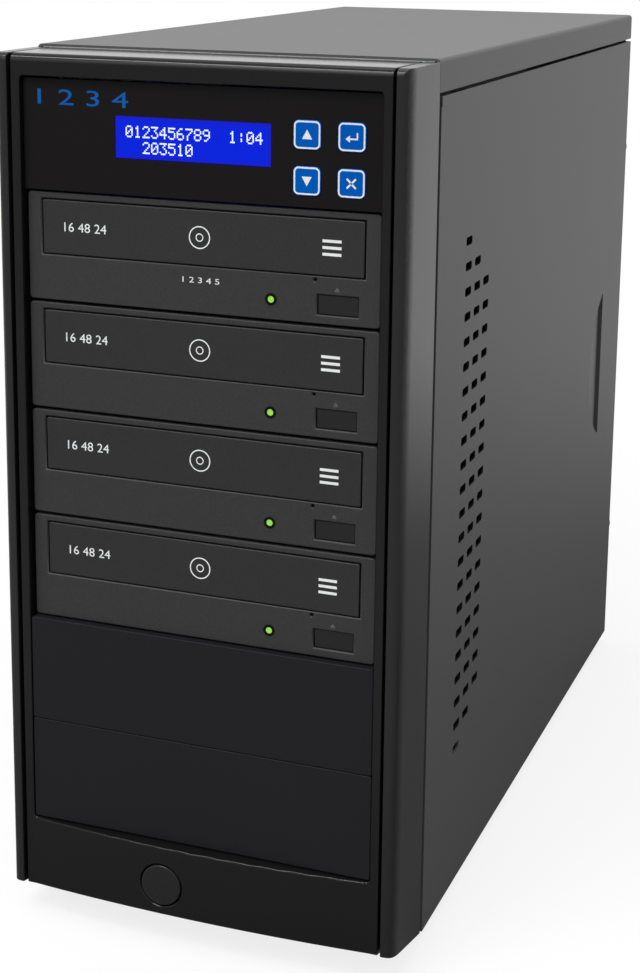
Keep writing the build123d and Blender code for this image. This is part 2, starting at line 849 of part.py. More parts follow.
def make_spindle(number, floor):
    """The turntable that spins the disc, on its shaft in the motor."""
    table_low = floor + motor_top + tray_clearance
    with BuildPart() as spindle:
        for low, high, radius in (
            (floor + shaft_end, table_low, shaft_radius),
            (table_low, table_low + turntable_height, turntable_radius),
            (table_low + turntable_height, floor + hub_top, hub_radius),
        ):
            with BuildSketch(Plane.XY.offset(low)):
                with Locations((0, face_y + disc_centre)):
                    Circle(radius)
            extrude(amount=high - low)
        hub_rim = edges().filter_by(GeomType.CIRCLE).group_by(Axis.Z)[-1]
        chamfer(hub_rim, 0.8)
    keep(spindle, f"drive_{number}_spindle")


def make_drive_lights():
    """The light pipes of all drives, one in each bezel."""
    with BuildPart() as drive_leds:
        for number in range(drive_count):
            z = drive_floor(first_drive_bay + number) + led_z
            rod((face_y, face_y + led_length), led_radius, led_x, z)
    keep(drive_leds, "drive_leds")


def make_blank_cover(name, bay):
    """A plain cover over an empty bay, with a skirt that grips the opening."""
    width = opening_width - 2 * blank_gap
    height = bay_pitch - blank_gap
    front = face_y - blank_face
    with BuildPart() as blank_cover:
        with BuildSketch(facing(front)):
            with Locations((0, bay_middle(bay))):
                RectangleRounded(width, height, blank_corner)
        extrude(amount=-blank_skirt)
        fillet(faces().sort_by(Axis.Y)[0].edges(), 0.3)
        with BuildSketch(facing(front + blank_wall)):
            with Locations((0, bay_middle(bay))):
                Rectangle(width - 2 * blank_wall, height - 2 * blank_wall)
        extrude(amount=blank_wall - blank_skirt, mode=Mode.SUBTRACT)
    keep(blank_cover, name)


# ---- Control panel ----------------------------------------------------------------------------------------
def key_places():
    """Name, X and Z of each key."""
    middle = bay_middle(0)
    left, right = key_columns
    high, low = key_rows
    return (
        ("key_up", left, middle + high),
        ("key_enter", right, middle + high),
        ("key_down", left, middle + low),
        ("key_escape", right, middle + low),
    )


def make_control_panel():
    """Faceplate, display, keys, their board, and the controller on its bracket."""
    middle = bay_middle(0)
    width = opening_width - 2 * faceplate_side_gap
    height = bay_pitch - 2 * faceplate_side_gap
    hole = key_size + 2 * key_gap
    with BuildPart() as control_faceplate:
        with BuildSketch(facing(faceplate_y)):
            with Locations((0, middle)):
                RectangleRounded(width, height, blank_corner)
            with Locations((window_x, middle + window_z)):
                Rectangle(window_width, window_height, mode=Mode.SUBTRACT)
            with Locations(*[(x, z) for _, x, z in key_places()]):
                RectangleRounded(hole, hole, key_corner + key_gap, mode=Mode.SUBTRACT)
        extrude(amount=-faceplate_thickness)
    keep(control_faceplate, "control_faceplate")

    with BuildPart() as lcd_module:
        with BuildSketch(facing(faceplate_y + display_gap)):
            with Locations((window_x, middle + window_z)):
                Rectangle(window_width - 2 * display_gap, window_height - 2 * display_gap)
        extrude(amount=display_gap - faceplate_thickness)
        with BuildSketch(facing(faceplate_back)):
            with Locations((window_x, middle + window_z)):
                Rectangle(display_body_width, display_body_height)
        extrude(amount=-display_body_depth)
    keep(lcd_module, "lcd_module")

    tact_y = display_board_y - tact_height
    with BuildPart() as display_board:
        with BuildSketch(facing(display_board_y)):
            with Locations((0, middle)):
                Rectangle(display_board_width, display_board_height)
        extrude(amount=-board_thickness)
        for _, x, z in key_places():
            block(
                (x - tact_size / 2, x + tact_size / 2),
                (tact_y, display_board_y),
                (z - tact_size / 2, z + tact_size / 2),
            )
            rod((tact_y - tact_plunger, tact_y), plunger_radius, x, z)
    keep(display_board, "display_board")

    cap_y = faceplate_y - key_proud
    flange_y = faceplate_back + key_gap
    stem_end = tact_y - tact_plunger - key_travel - stop_gap
    flange_size = hole + 2 * key_flange_width
    for name, x, z in key_places():
        with BuildPart() as key:
            with BuildSketch(facing(cap_y)):
                with Locations((x, z)):
                    RectangleRounded(key_size, key_size, key_corner)
            extrude(amount=cap_y - flange_y)
            fillet(faces().sort_by(Axis.Y)[0].edges(), 0.25)
            with BuildSketch(facing(flange_y)):
                with Locations((x, z)):
                    RectangleRounded(flange_size, flange_size, key_corner)
            extrude(amount=-key_flange)
            rod((flange_y + key_flange, stem_end), key_stem, x, z)
        keep(key, name)


def make_controller():
    """The bracket in the control bay and the board that runs the drives."""
    half = drive_case_width / 2
    floor = drive_floor(0) + (drive_height - drive_case_height) / 2
    front = display_board_y + board_thickness
    rear = face_y + bracket_length
    board_low = floor + sheet + post_height
    board_rear = rear - post_height
    board_front = board_rear - controller_length
    post_x = controller_width / 2 - 2 * post_radius
    post_y = (board_front + 2 * post_radius, board_rear - 2 * post_radius)
    with BuildPart() as controller_bracket:
        block((-half, half), (front, rear), (floor, floor + sheet))
        for side in (-1, 1):
            block(mirrored(side, half - sheet, half), (front, rear), (floor, floor + bracket_side))
            with BuildSketch(Plane.YZ.offset(side * half)):
                with Locations(*[(face_y + y, drive_floor(0) + drive_screw_z) for y in drive_screw_y]):
                    Circle(screw_hole_radius)
            extrude(amount=-side * sheet, mode=Mode.SUBTRACT)
        for x in (-post_x, post_x):
            for y in post_y:
                with BuildSketch(Plane.XY.offset(floor + sheet)):
                    with Locations((x, y)):
                        Circle(post_radius)
                extrude(amount=post_height)
    keep(controller_bracket, "controller_bracket")

    board_top = board_low + board_thickness
    with BuildPart() as controller_board:
        block(
            (-controller_width / 2, controller_width / 2),
            (board_front, board_rear),
            (board_low, board_top),
        )
        for chip_x, chip_y, chip_size, chip_height in (
            (-28, 40, 26, 3), (18, 44, 20, 2.4), (44, 78, 14, 2), (-44, 84, 12, 2)
        ):
            block(
                (chip_x - chip_size / 2, chip_x + chip_size / 2),
                (board_front + chip_y - chip_size / 2, board_front + chip_y + chip_size / 2),
                (board_top, board_top + chip_height),
            )
        for port in range(bay_count):
            port_x = controller_width / bay_count * (port - (bay_count - 1) / 2)
            block((port_x - 3, port_x + 3), (board_rear - 16, board_rear), (board_top, board_top + 9))
    keep(controller_board, "controller_board")


# ---- Power supply and fans ------------------------------------------------------------------------------------
def make_fan(name, x, z, size, back_y):
    """A square fan frame and its rotor, blowing out through the wall at back_y."""
    bore = size / 2 - fan_wall
    front_y = back_y - fan_depth
    hub_y = back_y - fan_hub_thickness
    offset = fan_hole_offset(size)
    with BuildPart() as fan_frame:
        with BuildSketch(facing(front_y)):
            with Locations((x, z)):
                RectangleRounded(size, size, fan_corner)
                Circle(bore, mode=Mode.SUBTRACT)
            with Locations(*[(x + sx * offset, z + sz * offset) for sx in (-1, 1) for sz in (-1, 1)]):
                Circle(fan_hole_radius, mode=Mode.SUBTRACT)
        extrude(amount=-fan_depth)
        with BuildSketch(facing(hub_y)):
            with Locations((x, z)):
                Circle(fan_hub_radius)
                for turn in (0, 90):
                    Rectangle(2 * bore + fan_wall, fan_wall, rotation=turn)
                Circle(shaft_radius + shaft_clearance, mode=Mode.SUBTRACT)
        extrude(amount=-fan_hub_thickness)
    keep(fan_frame, f"{name}_frame")

    rotor_front = front_y + fan_rotor_gap
    rotor_back = hub_y - fan_rotor_gap
    blade_y = (rotor_front + rotor_back) / 2
    with BuildPart() as fan_rotor:
        for blade in range(fan_blades):
            turn = 360 / fan_blades * blade
            outward = (cos(radians(turn)), 0, sin(radians(turn)))
            across = (-sin(radians(turn)), 0, cos(radians(turn)))
            pitch = radians(fan_blade_turn)
            chord_dir = tuple(
                cos(pitch) * a + sin(pitch) * b for a, b in zip(across, (0, 1, 0))
            )
            with BuildSketch(Plane((x, blade_y, z), x_dir=chord_dir, z_dir=outward)):
                SlotOverall(fan_blade_chord, fan_blade_thickness)
            extrude(amount=bore)
        rod((rotor_front, rotor_back), bore - fan_tip_gap, x, z, Mode.INTERSECT)
        rod((rotor_front, rotor_back), fan_hub_radius, x, z)
        rod((rotor_back, back_y - fan_rotor_gap), shaft_radius, x, z)
    keep(fan_rotor, f"{name}_rotor")


def make_power_supply():
    """The power supply's box, with the rear wall cut for its fan and its inlet."""
    half = supply_width / 2
    low = base_top
    high = base_top + supply_height
    with BuildPart() as psu_housing:
        block((-half, half), (supply_front_y, rear_plate_inner), (low, high))
        block(
            (sheet - half, half - sheet),
            (supply_front_y + sheet, rear_plate_inner - sheet),
            (low + sheet, high - sheet),
            Mode.SUBTRACT,
        )
        with BuildSketch(facing(rear_plate_inner - sheet)):
            grille_slots(supply_fan_x, supply_z, supply_fan_size / 2 - fan_wall, fan_hub_radius)
            with Locations((inlet_x, supply_z)):
                Rectangle(
                    inlet_body_width + 2 * inlet_body_gap, inlet_body_height + 2 * inlet_body_gap
                )
            with Locations(*supply_screws()):
                Circle(screw_hole_radius)
        extrude(amount=-sheet, mode=Mode.SUBTRACT)
    keep(psu_housing, "psu_housing")


def make_power_inlet():
    """The moulded module with the mains socket and the rocker's pocket, and the rocker."""
    face = rear_plate_inner + inlet_flange_thickness
    socket_z = supply_z - socket_drop
    rocker_z = supply_z + rocker_rise
    pivot_y = face - rocker_pin_depth
    with BuildPart() as power_inlet:
        with BuildSketch(facing(rear_plate_inner)):
            with Locations((inlet_x, supply_z)):
                RectangleRounded(inlet_flange_width, inlet_flange_height, socket_corner)
        extrude(amount=-inlet_flange_thickness)
        with BuildSketch(facing(rear_plate_inner - inlet_body_depth)):
            with Locations((inlet_x, supply_z)):
                Rectangle(inlet_body_width, inlet_body_height)
        extrude(amount=-inlet_body_depth)
        with BuildSketch(facing(face)):
            with Locations((inlet_x, socket_z)):
                RectangleRounded(socket_width, socket_height, socket_corner)
        extrude(amount=socket_depth, mode=Mode.SUBTRACT)
        with BuildSketch(facing(face)):
            with Locations((inlet_x, rocker_z)):
                Rectangle(rocker_pocket_width, rocker_pocket_height)
        extrude(amount=rocker_pocket_depth, mode=Mode.SUBTRACT)
        for pin_x, pin_z in ((-pin_spread, -pin_rise), (pin_spread, -pin_rise), (0, pin_rise)):
            block(
                (inlet_x + pin_x - pin_width / 2, inlet_x + pin_x + pin_width / 2),
                (face - socket_depth, face - socket_depth + pin_length),
                (socket_z + pin_z - pin_height / 2, socket_z + pin_z + pin_height / 2),
            )
        with BuildSketch(Plane.YZ.offset(inlet_x)):
            with Locations((pivot_y, rocker_z)):
                Circle(rocker_pin_radius + shaft_clearance)
        extrude(
            amount=rocker_pocket_width / 2 + rocker_pin_reach, both=True, mode=Mode.SUBTRACT
        )
    keep(power_inlet, "power_inlet")

    half_height = rocker_height / 2
    pin_end = rocker_pocket_width / 2 + rocker_pin_reach - stop_gap
    tilted = Plane((inlet_x, pivot_y, rocker_z), x_dir=(0, 1, 0), z_dir=(1, 0, 0)).rotated(
        (rocker_tilt, 0, 0)
    )
    with BuildPart() as rocker:
        with BuildSketch(tilted):
            with BuildLine():
                Polyline(
                    (-rocker_depth, -half_height),
                    (rocker_depth, -half_height),
                    (rocker_depth / 2, 0),
                    (rocker_depth, half_height),
                    (-rocker_depth, half_height),
                    close=True,
                )
            make_face()
        extrude(amount=rocker_width / 2, both=True)
        with BuildSketch(tilted):
            Circle(rocker_pin_radius)
        extrude(amount=pin_end, both=True)
    keep(rocker, "rocker")


# ---- Feet and screws ---------------------------------------------------------------------------------------------
def make_feet():
    """The four rubber feet under the base."""
    places = [
        (side * foot_x, y) for side in (-1, 1) for y in (joint_y + foot_front, rear_y - foot_rear)
    ]
    with BuildPart() as rubber_feet:
        with BuildSketch():
            with Locations(*places):
                Circle(foot_radius)
        extrude(amount=base_bottom)
        fillet(edges().group_by(Axis.Z)[0], foot_edge)
    keep(rubber_feet, "rubber_feet")


def make_screws():
    """The machine screws: drives and controller at the cage, power supply and fan at the rear."""
    with BuildPart() as machine_screws:
        for side in (-1, 1):
            for bay in range(first_drive_bay + drive_count):
                for screw_y in drive_screw_y:
                    place = (face_y + screw_y, drive_floor(bay) + drive_screw_z)
                    with BuildSketch(Plane.YZ.offset(side * cage_outer_x)):
                        with Locations(place):
                            Circle(screw_head_radius)
                    extrude(amount=side * screw_head_height)
                    with BuildSketch(Plane.YZ.offset(side * cage_outer_x)):
                        with Locations(place):
                            Circle(screw_shank_radius)
                    extrude(amount=-side * screw_length)
        for x, z in supply_screws() + case_fan_screws():
            rod((rear_plate_outer, rear_plate_outer + screw_head_height), screw_head_radius, x, z)
            rod((rear_plate_outer - screw_length, rear_plate_outer), screw_shank_radius, x, z)
    keep(machine_screws, "machine_screws")


make_bezel_frame()
make_power_button()
make_base_pan()
make_front_plate()
make_rear_panel()
make_top_cover()
for side_name, side_sign in (("left", -1), ("right", 1)):
    make_pillar(f"bezel_pillar_{side_name}", side_sign)
    make_drive_cage(f"drive_cage_{side_name}", side_sign)
    make_side_panel(f"side_panel_{side_name}", side_sign)
    make_thumb_screws(f"thumb_screws_{side_name}", side_sign)
for drive_number in range(1, drive_count + 1):
    drive_low = drive_floor(first_drive_bay + drive_number - 1)
    make_drive_case(drive_number, drive_low)
    make_drive_bezel(drive_number, drive_low)
    make_tray(drive_number, drive_low)
    make_eject_button(drive_number, drive_low)
    make_spindle(drive_number, drive_low)
make_drive_lights()
for blank_name, blank_bay in blank_bays.items():
    make_blank_cover(blank_name, blank_bay)
make_control_panel()
make_controller()
make_power_supply()
make_fan("psu_fan", supply_fan_x, supply_z, supply_fan_size, rear_plate_inner - sheet)
make_fan("case_fan", 0, case_fan_z, case_fan_size, rear_plate_inner)
make_power_inlet()
make_feet()
make_screws()
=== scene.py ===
"""Looks of a tower that copies discs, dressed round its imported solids. Metres, +Z up, front at -Y."""

import json
import logging
from dataclasses import dataclass
from enum import Enum
from math import cos, pi, radians, sin

import bmesh
import bpy
from mathutils import Matrix, Vector


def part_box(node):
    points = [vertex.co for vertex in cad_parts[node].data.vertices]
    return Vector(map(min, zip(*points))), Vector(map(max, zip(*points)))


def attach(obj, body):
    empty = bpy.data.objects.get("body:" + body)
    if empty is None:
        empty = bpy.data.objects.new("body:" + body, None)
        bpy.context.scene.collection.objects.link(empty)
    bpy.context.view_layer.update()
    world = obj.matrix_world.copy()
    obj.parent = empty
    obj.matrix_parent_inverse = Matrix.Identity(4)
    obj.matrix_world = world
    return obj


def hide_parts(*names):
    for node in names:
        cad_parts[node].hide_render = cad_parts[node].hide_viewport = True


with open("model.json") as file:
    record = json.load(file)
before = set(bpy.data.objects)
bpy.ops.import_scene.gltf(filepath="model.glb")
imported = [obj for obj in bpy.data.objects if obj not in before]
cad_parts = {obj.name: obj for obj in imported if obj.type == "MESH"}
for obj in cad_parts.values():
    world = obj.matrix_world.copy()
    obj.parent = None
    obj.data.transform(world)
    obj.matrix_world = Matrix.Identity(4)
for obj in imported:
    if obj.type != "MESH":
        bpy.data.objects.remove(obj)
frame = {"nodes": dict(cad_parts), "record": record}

LOG = logging.getLogger("tower")
MM = 0.001
IMAGE_SIZE = (640, 973)
WELD = 0.002 * MM
PRINT_WELD = 0.01 * MM
SMOOTH_BELOW = radians(35)
CHAMFER_ABOVE = radians(50)
BODY_OF = {
    node: body for body, nodes in frame["record"]["behaviour"]["bodies"].items() for node in nodes
}
SLOT_OF = {row["node"]: row["material_slot"] for row in frame["record"]["subparts"]}

Point = tuple[float, float]
Place = tuple[float, float, float]
Box = tuple[float, float, float, float]
Socket = bpy.types.NodeSocket


# ---- Node trees ----
@dataclass
class Tree:
    """A node tree, with short calls that add nodes and link them."""

    tree: bpy.types.NodeTree

    def add(
        self, kind: str, constants: dict[str, object] | None = None, operation: str = ""
    ) -> bpy.types.Node:
        """Adds a node.

        Args:
            kind: Its Blender type.
            constants: The values of its inputs, by name.
            operation: What a maths node does.

        Returns:
            The new node.
        """
        node = self.tree.nodes.new(kind)
        if operation:
            node.operation = operation
        self.fill(node, constants or {})
        return node

    def fill(self, node: bpy.types.Node, constants: dict[str, object]) -> None:
        """Sets constants on a node's inputs, by name."""
        for name, value in constants.items():
            node.inputs[name].default_value = value

    def link(self, source: Socket, target: Socket) -> None:
        """Links an output to an input."""
        self.tree.links.new(source, target)

    def maths(self, operation: str, first: Socket, second: Socket) -> Socket:
        """Adds a maths node over two values.

        Args:
            operation: What it does.
            first: The first value.
            second: The second value.

        Returns:
            The result.
        """
        node = self.add("ShaderNodeMath", operation=operation)
        self.link(first, node.inputs[0])
        self.link(second, node.inputs[1])
        return node.outputs["Value"]

    def spread(self, value: Socket, given: Point = (0.0, 1.0), made: Point = (0.0, 1.0)) -> Socket:
        """Maps a value from one range to another, and keeps it inside.

        Args:
            value: The value.
            given: The two ends it comes from.
            made: The two ends it goes to.

        Returns:
            The mapped value.
        """
        ends = {"From Min": given[0], "From Max": given[1], "To Min": made[0], "To Max": made[1]}
        node = self.add("ShaderNodeMapRange", ends)
        self.link(value, node.inputs["Value"])
        return node.outputs["Result"]


# ---- Finishes ----
class Pattern(Enum):
    """How a finish varies over the surface."""

    GRAIN = "grain"
    BRUSHED = "brushed"
    TRACES = "traces"


@dataclass(frozen=True)
class Finish:
    """A surface finish: a base colour with a pattern on Object coordinates."""

    name: str
    color: tuple[float, float, float]
    roughness: float
    metallic: float = 0.0
    specular: float = 0.5
    pattern: Pattern = Pattern.GRAIN
    scale: float = 1400.0
    tone: float = 0.15
    bump: float = 0.12
    clouds: float = 0.05
    coat: float = 0.0
    glow: tuple[float, float, float] = (0.0, 0.0, 0.0)
    glow_strength: float = 0.0
    coat_roughness: float = 0.12
    roughness_spread: float = 0.05
    least_roughness: float = 0.02
    tone_ends: Point = (0.3, 0.7)
    brush_stretch: float = 0.04
    grain_detail: float = 3.0
    cloud_scale: float = 14.0
    cloud_detail: float = 2.0
    relief: float = 0.1 * MM

    def material(self) -> bpy.types.Material:
        """Builds the finish once and hands out the same material afterwards.

        Returns:
            The Blender material.
        """
        made = bpy.data.materials.get(f"{self.name}_look")
        return made if made else self._build()

    def _shade(self, amount: float) -> tuple[float, float, float, float]:
        """The base colour made lighter or darker by a fraction, with full opacity."""
        return (*(min(1.0, channel * (1 + amount)) for channel in self.color), 1.0)

    def _build(self) -> bpy.types.Material:
        """Makes the material.

        Returns:
            The new material.
        """
        material = bpy.data.materials.new(f"{self.name}_look")
        material.use_nodes = True
        tree = Tree(material.node_tree)
        shader = material.node_tree.nodes["Principled BSDF"]
        tree.fill(
            shader,
            {
                "Metallic": self.metallic,
                "Specular IOR Level": self.specular,
                "Coat Weight": self.coat,
                "Coat Roughness": self.coat_roughness,
                "Emission Color": (*self.glow, 1.0),
                "Emission Strength": self.glow_strength,
            },
        )
        place = tree.add("ShaderNodeTexCoord").outputs["Object"]
        height = self._height(tree, place)
        tree.link(self._tinted(tree, place, height), shader.inputs["Base Color"])
        smoothest = max(self.least_roughness, self.roughness - self.roughness_spread)
        roughest = min(1.0, self.roughness + self.roughness_spread)
        tree.link(tree.spread(height, made=(smoothest, roughest)), shader.inputs["Roughness"])
        relief = tree.add("ShaderNodeBump", {"Strength": self.bump, "Distance": self.relief})
        tree.link(height, relief.inputs["Height"])
        tree.link(relief.outputs["Normal"], shader.inputs["Normal"])
        return material

    def _height(self, tree: Tree, place: Socket) -> Socket:
        """Adds the fine pattern.

        Args:
            tree: The material's tree.
            place: Where on the piece it is.

        Returns:
            The pattern's height, 0 to 1.
        """
        if self.pattern is Pattern.TRACES:
            brick = tree.add("ShaderNodeTexBrick", {"Scale": self.scale})
            tree.link(place, brick.inputs["Vector"])
            return brick.outputs["Fac"]
        stretch = self.brush_stretch if self.pattern is Pattern.BRUSHED else 1.0
        mapping = tree.add("ShaderNodeMapping", {"Scale": (1.0, stretch, 1.0)})
        tree.link(place, mapping.inputs["Vector"])
        fine = tree.add("ShaderNodeTexNoise", {"Scale": self.scale, "Detail": self.grain_detail})
        tree.link(mapping.outputs["Vector"], fine.inputs["Vector"])
        return fine.outputs["Fac"]

    def _tinted(self, tree: Tree, place: Socket, height: Socket) -> Socket:
        """Adds the base colour, varied by the fine pattern and by soft clouds.

        Args:
            tree: The material's tree.
            place: Where on the piece it is.
            height: The fine pattern's height.

        Returns:
            The colour.
        """
        ramp = tree.add("ShaderNodeValToRGB")
        shades = (self._shade(-self.tone), self._shade(self.tone))
        for stop, end, shade in zip(ramp.color_ramp.elements, self.tone_ends, shades):
            stop.position = end
            stop.color = shade
        tree.link(height, ramp.inputs["Fac"])
        noise = {"Scale": self.cloud_scale, "Detail": self.cloud_detail}
        cloud = tree.add("ShaderNodeTexNoise", noise)
        tree.link(place, cloud.inputs["Vector"])
        drift = tree.spread(cloud.outputs["Fac"], made=(1 - self.clouds, 1 + self.clouds))
        shaded = tree.add("ShaderNodeVectorMath", operation="SCALE")
        tree.link(ramp.outputs["Color"], shaded.inputs["Vector"])
        tree.link(drift, shaded.inputs["Scale"])
        return shaded.outputs["Vector"]


BEZEL_BLACK = Finish(
    "bezel_black", (0.007, 0.007, 0.0071), 0.14, specular=0.22, scale=2600, bump=0.02, tone=0.08
)
PILLAR_BLACK = Finish(
    "pillar_black", (0.011, 0.011, 0.0112), 0.22, specular=0.32, scale=2600, bump=0.03, tone=0.08
)
CASE_PAINT = Finish(
    "case_paint", (0.08, 0.08, 0.08), 0.48, specular=0.36, scale=2200, bump=0.3, tone=0.16
)
ZINC_STEEL = Finish("zinc_steel", (0.5, 0.51, 0.52), 0.38, 1.0, pattern=Pattern.BRUSHED, scale=900)
DRIVE_STEEL = Finish("drive_steel", (0.46, 0.47, 0.48), 0.34, 1.0, pattern=Pattern.BRUSHED, scale=1200)
DRIVE_PLASTIC = Finish(
    "drive_plastic", (0.03, 0.03, 0.0302), 0.48, specular=0.25, scale=2600, bump=0.25, tone=0.25
)
DOOR_PLASTIC = Finish(
    "door_plastic", (0.021, 0.021, 0.0212), 0.44, specular=0.26, scale=2600, bump=0.25, tone=0.25
)
EJECT_PLASTIC = Finish(
    "eject_plastic", (0.0095, 0.0095, 0.0097), 0.4, specular=0.26, scale=2600, bump=0.2, tone=0.2
)
TRAY_PLASTIC = Finish("tray_plastic", (0.022, 0.022, 0.024), 0.4, scale=1800, bump=0.15)
TURNTABLE = Finish("turntable_plastic", (0.07, 0.07, 0.075), 0.4)
LED_GREEN = Finish(
    "led_green", (0.2, 0.52, 0.04), 0.2, coat=0.5, glow=(0.36, 0.8, 0.07), glow_strength=0.35
)
KEY_BLUE = Finish(
    "key_blue", (0.001, 0.105, 0.49), 0.5, specular=0.0, scale=1800, bump=0.1, tone=0.08
)
DISPLAY_BLUE = Finish(
    "display_blue", (0.001, 0.006, 0.1), 0.2, specular=0.0, scale=300, tone=0.05, bump=0.0,
    glow=(0.004, 0.016, 0.68), glow_strength=0.92,
)
DISPLAY_RIM = Finish(
    "display_rim", (0.006, 0.004, 0.08), 0.2, specular=0.0, tone=0.05, bump=0.0,
    glow=(0.006, 0.014, 0.62), glow_strength=0.9,
)
DOT_WHITE = Finish(
    "dot_white", (0.6, 0.66, 0.8), 0.4, tone=0.05, bump=0.0, glow=(0.7, 0.76, 1.0), glow_strength=0.6
)
BOARD_GREEN = Finish("board_green", (0.015, 0.13, 0.055), 0.42, pattern=Pattern.TRACES, scale=160)
BLANK_PLASTIC = Finish(
    "blank_plastic", (0.0135, 0.0128, 0.0155), 0.4, specular=0.1, scale=2600, bump=0.1
)
PANEL_PLASTIC = Finish(
    "panel_plastic", (0.0075, 0.0065, 0.007), 0.42, specular=0.08, scale=2600, bump=0.12
)
BUTTON_BLACK = Finish(
    "button_black", (0.012, 0.012, 0.0122), 0.28, specular=0.28, scale=2600, bump=0.04
)
SWITCH_BLACK = Finish("switch_black", (0.02, 0.02, 0.02), 0.4, bump=0.1)
FAN_BLACK = Finish("fan_black", (0.018, 0.018, 0.018), 0.42, bump=0.1)
RUBBER = Finish("foot_rubber", (0.02, 0.02, 0.02), 0.7, scale=1200, bump=0.3)
THUMB_BLACK = Finish("thumb_black", (0.02, 0.02, 0.021), 0.42, bump=0.1)
SCREW_STEEL = Finish("screw_steel", (0.55, 0.55, 0.56), 0.3, 1.0, pattern=Pattern.BRUSHED)
# Painted shade: the vent walls have the panel's own paint, and this dark finish stands in for the shade
# inside the slots.
SLOT_SHADE = Finish("slot_shade", (0.008, 0.008, 0.008), 0.7, specular=0.1, bump=0.1)
PRINT_WHITE = Finish("print_white", (0.86, 0.87, 0.88), 0.55, tone=0.04, bump=0.02)
PRINT_BLUE = Finish("print_blue", (0.005, 0.1, 0.4), 0.5, specular=0.1, tone=0.06, bump=0.02)
PRINT_GREY = Finish("print_grey", (0.11, 0.112, 0.115), 0.5, tone=0.06, bump=0.02)
RING_BLACK = Finish("ring_black", (0.002, 0.002, 0.002), 0.5, specular=0.1, bump=0.05)

FINISH_OF_SLOT = {
    "bezel_plastic": BEZEL_BLACK,
    "zinc_steel": ZINC_STEEL,
    "case_paint": CASE_PAINT,
    "drive_steel": DRIVE_STEEL,
    "drive_plastic": DRIVE_PLASTIC,
    "tray_plastic": TRAY_PLASTIC,
    "turntable_plastic": TURNTABLE,
    "led_green": LED_GREEN,
    "key_blue": KEY_BLUE,
    "display_blue": DISPLAY_BLUE,
    "circuit_board": BOARD_GREEN,
    "blank_plastic": BLANK_PLASTIC,
    "faceplate_plastic": PANEL_PLASTIC,
    "button_plastic": BUTTON_BLACK,
    "switch_plastic": SWITCH_BLACK,
    "fan_plastic": FAN_BLACK,
    "foot_rubber": RUBBER,
    "thumb_plastic": THUMB_BLACK,
    "screw_steel": SCREW_STEEL,
}


# ---- Making and placing pieces ----
@dataclass(frozen=True)
class Piece:
    """Where a finished mesh belongs: its name, CAD body, material slot and finish."""

    name: str
    body: str
    slot: str
    finish: Finish

    def add(self, build: bmesh.types.BMesh) -> bpy.types.Object:
        """Turns a bmesh into a finished object that rides on the piece's body.

        Args:
            build: The mesh, in place; it is freed.

        Returns:
            The new object.
        """
        for face in build.faces:
            face.smooth = True
        for edge in build.edges:
            edge.smooth = edge.calc_face_angle(pi) < SMOOTH_BELOW
        mesh = bpy.data.meshes.new(self.name)
        build.to_mesh(mesh)
        build.free()
        return self.add_mesh(mesh)

    def add_mesh(self, mesh: bpy.types.Mesh) -> bpy.types.Object:
        """Makes a finished mesh an object that rides on the piece's body.

        Args:
            mesh: The mesh, in place.

        Returns:
            The new object.
        """
        mesh.materials.clear()
        mesh.materials.append(self.finish.material())
        obj = bpy.data.objects.new(self.name, mesh)
        bpy.context.scene.collection.objects.link(obj)
        even = obj.modifiers.new("even_normals", "WEIGHTED_NORMAL")
        even.keep_sharp = True
        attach(obj, self.body)
        LOG.info("piece %s on %s", self.name, self.body)
        return obj


def skin(node: str, finish: Finish, bevel: float = 0.0) -> bpy.types.Object:
    """Makes a smooth stand-in for a CAD node, chamfered where that is asked for.

    Args:
        node: The node's name.
        finish: The finish it gets.
        bevel: Width of the chamfer on its sharp edges, in metres.

    Returns:
        The stand-in, which replaces the node.
    """
    build = bmesh.new()
    build.from_mesh(frame["nodes"][node].data)
    bmesh.ops.remove_doubles(build, verts=build.verts, dist=WELD)
    if bevel:
        sharp = [edge for edge in build.edges if edge.calc_face_angle(0.0) > CHAMFER_ABOVE]
        bmesh.ops.bevel(
            build, geom=sharp, offset=bevel, segments=1, profile=0.5, affect="EDGES",
            clamp_overlap=False,
        )
    obj = Piece(f"{node}_skin", BODY_OF[node], SLOT_OF[node], finish).add(build)
    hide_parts(node)
    return obj


def band(
    build: bmesh.types.BMesh, here: list[bmesh.types.BMVert], there: list[bmesh.types.BMVert]
) -> list[bmesh.types.BMFace]:
    """Joins two loops of corners with a band of faces.

    Args:
        build: The mesh that they are in.
        here: The one loop.
        there: The other, with as many corners.

    Returns:
        The new faces.
    """
    count = len(here)
    return [
        build.faces.new((here[i], here[(i + 1) % count], there[(i + 1) % count], there[i]))
        for i in range(count)
    ]


def plate(build: bmesh.types.BMesh, outline: list[Point], front: float, depth: float) -> None:
    """Adds an upright plate to a bmesh.

    Args:
        build: The mesh to add to.
        outline: X and Z of its corners.
        front: Y of its front face.
        depth: Its thickness, towards the rear.
    """
    near = [build.verts.new((x, front, z)) for x, z in outline]
    far = [build.verts.new((x, front + depth, z)) for x, z in outline]
    faces = [build.faces.new(near), build.faces.new(list(reversed(far)))]
    bmesh.ops.recalc_face_normals(build, faces=faces + band(build, near, far))


def ring(
    build: bmesh.types.BMesh, outer: list[Point], inner: list[Point], front: float, depth: float
) -> None:
    """Adds an upright plate with a hole to a bmesh.

    Args:
        build: The mesh to add to.
        outer: X and Z of the outer outline.
        inner: X and Z of the hole, with as many corners.
        front: Y of its front face.
        depth: Its thickness, towards the rear.
    """
    rear = front + depth
    loops = [
        [build.verts.new((x, y, z)) for x, z in outline]
        for y, outline in ((front, outer), (front, inner), (rear, inner), (rear, outer))
    ]
    faces = []
    for here, there in zip(loops, loops[1:] + loops[:1]):
        faces += band(build, here, there)
    bmesh.ops.recalc_face_normals(build, faces=faces)


def rectangle(left: float, right: float, low: float, high: float) -> list[Point]:
    """X and Z of a rectangle's corners."""
    return [(left, low), (right, low), (right, high), (left, high)]


